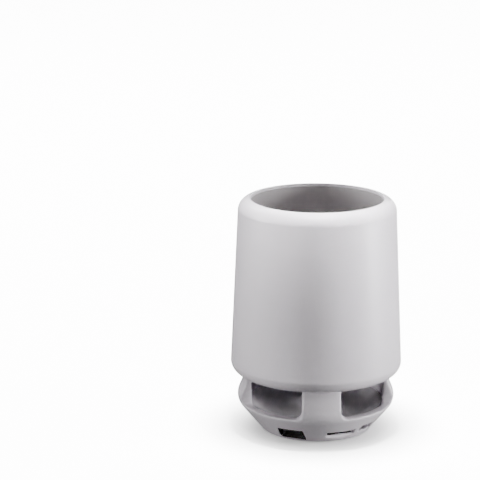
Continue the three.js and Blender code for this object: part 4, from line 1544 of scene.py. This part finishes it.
@dataclass
class Underside:
    """The bottom cover with its screws and rubber feet. Sizes are in millimetres.

    Each pair of foot_face is a share of the foot's radius and a height. Each pair of foot_edge is a step in
    from that radius and a height. Each pair of head_shares is in shares of the screw head's radius and rise.
    """

    radius: float = 22.9
    low: float = 0.5
    high: float = 1.7
    edge: float = 0.25
    groove_inset: float = 2.4
    groove_half: float = 0.2
    groove_depth: float = 0.15
    around: int = 144
    boss_root: float = 0.1
    boss_flare: float = 0.3
    boss_rise: float = 0.4
    boss_top: float = 3.3
    bore_top: float = 3.0
    sink_radius: float = 2.3
    sink_top: float = 1.5
    sink_around: int = 32
    foot_radius: float = 3.6
    foot_top: float = 0.7
    foot_circle: float = 18.6
    foot_angles: tuple[float, ...] = (50.0, 130.0, -130.0, -50.0)
    foot_around: int = 48
    foot_face: tuple[Pair, ...] = ((0.0, 0.06), (0.55, 0.06), (0.6, 0.14), (0.65, 0.0))
    foot_edge: tuple[Pair, ...] = ((0.35, 0.0), (0.1, 0.08), (0.0, 0.3))
    recess_top: float = 0.9
    screw_seat: float = 1.3
    screw_head: float = 1.9
    head_shares: tuple[Pair, ...] = ((0.0, 1.0), (0.55, 1.0), (0.82, 0.8), (0.96, 0.45), (1.0, 0.1))
    head_nick: float = 0.1
    screw_rise: float = 0.6
    screw_shank: float = 1.0
    screw_tip: float = 0.6
    screw_length: float = 7.2
    thread_pitch: float = 0.5
    thread_share: float = 0.4
    thread_depth: float = 0.16
    thread_start: float = 0.3
    screw_around: int = 32
    cross_share: float = 1.2
    cross_width: float = 0.42
    cross_depth: float = 0.8

    def cover(self) -> Piece:
        """Builds the cover with its counterbores, recesses and bosses.

        Returns:
            The cover.
        """
        low, high, groove = self.low, self.high, self.radius - self.groove_inset
        profile = [
            (0, low),
            (groove - self.groove_half, low),
            (groove, low + self.groove_depth),
            (groove + self.groove_half, low),
            (self.radius - self.edge, low),
            (self.radius, low + self.edge),
            (self.radius, high),
            (0, high),
        ]
        cover = turned("base_cover", profile, self.around, Ends.CAPPED)
        holes = ((BOSS_BORE, self.bore_top, BOSS_AROUND), (self.sink_radius, self.sink_top, self.sink_around))
        cutters = [on_circle(peg(radius, -OVERCUT, top, around), SCREW_CIRCLE, angle)
                   for angle in SCREW_ANGLES for radius, top, around in holes]
        for angle in self.foot_angles:
            recess = peg(self.foot_radius + GAP, -OVERCUT, self.recess_top, self.foot_around)
            cutters.append(on_circle(recess, self.foot_circle, angle))
        cut(cover, cutters)
        root = high - self.boss_root
        boss = [
            (BOSS_BORE, root),
            (BOSS_RADIUS + self.boss_flare, root),
            (BOSS_RADIUS, high + self.boss_rise),
            (BOSS_RADIUS, self.boss_top),
            (BOSS_BORE, self.boss_top),
        ]
        bosses = [on_circle(turned("boss", boss, BOSS_AROUND), SCREW_CIRCLE, angle) for angle in SCREW_ANGLES]
        return joined([cover, *bosses])

    def foot(self) -> Piece:
        """Builds one rubber foot on the axis, with a groove round its face.

        Returns:
            The foot.
        """
        radius, top = self.foot_radius, self.foot_top
        profile = [
            *((radius * share, height) for share, height in self.foot_face),
            *((radius - step, height) for step, height in self.foot_edge),
            (radius, top),
            (0, top),
        ]
        return turned("foot", profile, self.foot_around, Ends.CAPPED)

    def screw(self) -> Piece:
        """Builds one screw on the axis, with its head down and a cross recess in it.

        Returns:
            The screw.
        """
        head, rise, shank, pitch = self.screw_head, self.screw_rise, self.screw_shank, self.thread_pitch
        profile = [(head * across, -rise * up) for across, up in self.head_shares]
        profile += [(head - self.head_nick, 0.0), (shank, 0.0)]
        for i in range(int((self.screw_length - shank) / pitch)):
            z = self.thread_start + pitch * i
            profile += [(shank - self.thread_depth, z), (shank, z + pitch * self.thread_share)]
        profile += [(shank * self.screw_tip, self.screw_length), (0, self.screw_length)]
        screw = turned("screw", profile, self.screw_around, Ends.CAPPED)
        long, narrow = head * self.cross_share, self.cross_width
        arms = []
        for across, along in ((long, narrow), (narrow, long)):
            alone()
            bpy.ops.mesh.primitive_cube_add(size=MM)
            arm = bpy.context.active_object
            arm.data.transform(Matrix.Diagonal((across, along, self.cross_depth, 1.0)))
            arms.append(settled(arm, 0.0, (0.0, 0.0, -rise)))
        return cut(screw, arms)

    def build(self) -> None:
        """Builds and dresses the cover, and the feet and the screws as copies in their places."""
        dressed(self.cover(), WHITE, "stand", ["bottom_cover"])
        foot = self.foot()
        for i, angle in enumerate(self.foot_angles, 1):
            copy = on_circle(copied(foot, f"rubber_foot_{i}"), self.foot_circle, angle)
            dressed(copy, RUBBER, "stand", [f"foot_pad_{i}"])
        screw = self.screw()
        for i, angle in enumerate(SCREW_ANGLES, 1):
            copy = on_circle(copied(screw, f"base_screw_{i}"), SCREW_CIRCLE, angle, self.screw_seat)
            dressed(copy, STEEL, "stand", [f"cover_screw_{i}"])
        for pattern in (foot, screw):
            bpy.data.objects.remove(pattern)


@dataclass
class Grating:
    """The round grating under the loudspeaker. Sizes are in millimetres."""

    radius: float = 24.7
    low: float = 30.7
    high: float = 31.7
    nick: float = 0.15
    hole: float = 1.8
    pitch: float = 5.4
    row_share: float = 0.866
    border: float = 2.6
    around: int = 96
    hole_around: int = 20

    def plate(self) -> Piece:
        """Builds the grating with its rows of round holes.

        Returns:
            The grating.
        """
        profile = [(0, self.low), (self.radius - self.nick, self.low), (self.radius, self.low + self.nick),
                   (self.radius, self.high), (0, self.high)]
        plate = turned("sound_grating", profile, self.around, Ends.CAPPED)
        rise = self.pitch * self.row_share
        rows = math.ceil(self.radius / rise)
        pins = []
        for row in range(-rows, rows + 1):
            shift = row % 2 / 2
            for column in range(-rows, rows + 1):
                x, y = (column + shift) * self.pitch, row * rise
                if math.hypot(x, y) < self.radius - self.border - self.hole:
                    pin = peg(self.hole, self.low - OVERCUT, self.high + OVERCUT, self.hole_around)
                    pins.append(settled(pin, 0.0, (x, y, 0)))
        return cut(plate, [joined(pins)])

    def build(self) -> None:
        """Builds and dresses the grating."""
        dressed(self.plate(), GRILLE, "stand", ["speaker_grille"])


@dataclass(frozen=True)
class Lamp:
    """A soft light that faces the stand, with a honeycomb that narrows its beam.

    Sizes are in metres and angles in degrees. Its azimuth is 0 in front and 90 at the right. Its rise is
    measured from a middle height, and it is aimed at a height on the axis.
    """

    name: str
    azimuth: float
    rise: float
    distance: float
    size: Pair
    power: float
    beam: float = 180.0
    aim: float = 0.06
    middle: float = 0.06

    def add(self) -> None:
        """Adds the light."""
        data = bpy.data.lights.new(self.name, "AREA")
        data.shape = "RECTANGLE"
        data.size, data.size_y = self.size
        data.energy = self.power
        data.spread = math.radians(self.beam)
        light = bpy.data.objects.new(self.name, data)
        turn, rise = math.radians(self.azimuth), math.radians(self.rise)
        flat, high = self.distance * math.cos(rise), self.distance * math.sin(rise) + self.middle
        light.location = (flat * math.sin(turn), -flat * math.cos(turn), high)
        light.rotation_euler = (Vector((0, 0, self.aim)) - light.location).to_track_quat("-Z", "Y").to_euler()
        bpy.context.scene.collection.objects.link(light)


@dataclass
class Studio:
    """A pale floor, soft lights and the camera at the photograph's viewing angle.

    Sizes are in metres, and the camera's lens and sensor in millimetres.
    """

    floor_size: float = 12.0
    floor_grey: Pair = (0.9, 0.91)
    floor_waves: float = 6.0
    floor_roughness: float = 0.9
    floor_sheen: float = 0.1
    camera_place: tuple[float, float, float] = (-0.0837, -0.9764, 0.33912)
    camera_pitch: float = 13.943
    camera_turn: float = -2.6825
    lens: float = 153.581
    sensor: float = 36.0
    sky_top: float = 0.04
    sky_low: float = 0.06
    floor_glow: float = 13.0
    # Near the stand the floor glows less, between shade_start and shade_end from the axis: a painted shadow
    # round the foot.
    painted_shadow_glow: float = 0.35
    shade_start: float = 0.024
    shade_end: float = 0.075
    lamps: tuple[Lamp, ...] = (
        Lamp("high_back", 180, 50, 1.4, (1.6, 0.9), 40),
        Lamp("over_lip", 0, 84, 0.9, (0.10, 0.04), 0.077, 8, -0.402),
        Lamp("front_of_lip", 0, 60, 0.9, (0.10, 0.02), 0.02, 5, 0.065),
        Lamp("left_side", -90, 15, 0.65, (0.25, 0.25), 0.40, 40, 0.20),
        Lamp("right_side", 78, 5, 0.65, (0.15, 0.3), 1.12, 60, 0.10),
        Lamp("left_window", -45, 4, 0.8, (0.05, 0.03), 0.004, 7, 0.02),
        Lamp("front_low", 3, 2, 0.8, (0.05, 0.02), 0.0011, 5, 0.0),
    )

    def camera(self) -> None:
        """Adds the camera."""
        data = bpy.data.cameras.new("view")
        data.lens = self.lens
        data.sensor_width = self.sensor
        data.sensor_fit = "HORIZONTAL"
        camera = bpy.data.objects.new("view", data)
        camera.location = self.camera_place
        camera.rotation_euler = (math.radians(90 - self.camera_pitch), 0.0, math.radians(self.camera_turn))
        bpy.context.scene.collection.objects.link(camera)
        bpy.context.scene.camera = camera

    def floor(self) -> None:
        """Adds the floor: a light table whose glow fades under the stand into a painted shadow, and which is
        clear when seen from below.
        """
        alone()
        bpy.ops.mesh.primitive_plane_add(size=self.floor_size)
        floor = bpy.context.active_object
        floor.name = "studio_floor"
        material = bpy.data.materials.new("pale_floor")
        graph = Graph(material)
        graph.tint(graph.noise(self.floor_waves), *((grey, grey, grey) for grey in self.floor_grey))
        reach = graph.add("VectorMath", {0: graph.place}, operation="LENGTH").outputs["Value"]
        # The floor's light fades towards the axis: a painted shadow round the foot.
        glow = graph.ranged(reach, (self.shade_start, self.shade_end), self.painted_shadow_glow, self.floor_glow,
                            interpolation_type="SMOOTHERSTEP")
        graph.put(graph.shader, {
            "Roughness": self.floor_roughness,
            "Specular IOR Level": self.floor_sheen,
            "Emission Color": (1.0, 1.0, 1.0, 1.0),
            "Emission Strength": glow,
        })
        both = graph.add("MixShader", {
            "Fac": graph.add("NewGeometry", {}).outputs["Backfacing"],
            1: graph.shader.outputs["BSDF"],
            2: graph.add("BsdfTransparent", {}).outputs["BSDF"],
        })
        graph.put(graph.nodes["Material Output"], {"Surface": both.outputs["Shader"]})
        floor.data.materials.append(material)
        floor.visible_diffuse = False
        floor.visible_glossy = False

    def sky(self) -> None:
        """Sets the even light all round. The camera itself sees it as white as the floor."""
        world = bpy.data.worlds.new("studio_sky")
        bpy.context.scene.world = world
        graph = Graph(world)
        height = graph.add("SeparateXYZ", {"Vector": graph.coordinates["Generated"]}).outputs["Z"]
        strength = graph.add("Mix", {
            "Factor": graph.add("LightPath", {}).outputs["Is Camera Ray"],
            "A": graph.ranged(height, (0.0, 1.0), self.sky_low, self.sky_top),
            "B": self.floor_glow,
        }).outputs["Result"]
        graph.put(graph.nodes["Background"], {"Color": (1.0, 1.0, 1.0, 1.0), "Strength": strength})

    def build(self) -> None:
        """Adds the camera, the floor, the sky and the lights."""
        self.camera()
        self.floor()
        self.sky()
        for lamp in self.lamps:
            lamp.add()


def dress_kept_nodes() -> None:
    """Gives the CAD nodes that keep their own shape their finishes."""
    for finish, nodes in KEPT_NODES:
        for node in nodes:
            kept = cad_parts[node]
            kept.data.materials.clear()
            kept.data.materials.append(finish.material())
            LOG.info("%s: kept, %s", node, finish.name)


def main() -> None:
    """Builds the studio and the stand's sub-assemblies in order, and reports each piece."""
    Studio().build()
    bowl = Bowl()
    sockets, controls = Sockets(bowl), Controls(bowl)
    Cup().build(bowl.tongue_cutters())
    bowl.build([*sockets.cutters(), *controls.cutters()])
    sockets.build()
    controls.build()
    Underside().build()
    Grating().build()
    dress_kept_nodes()


if __name__ == "__main__":
    main()
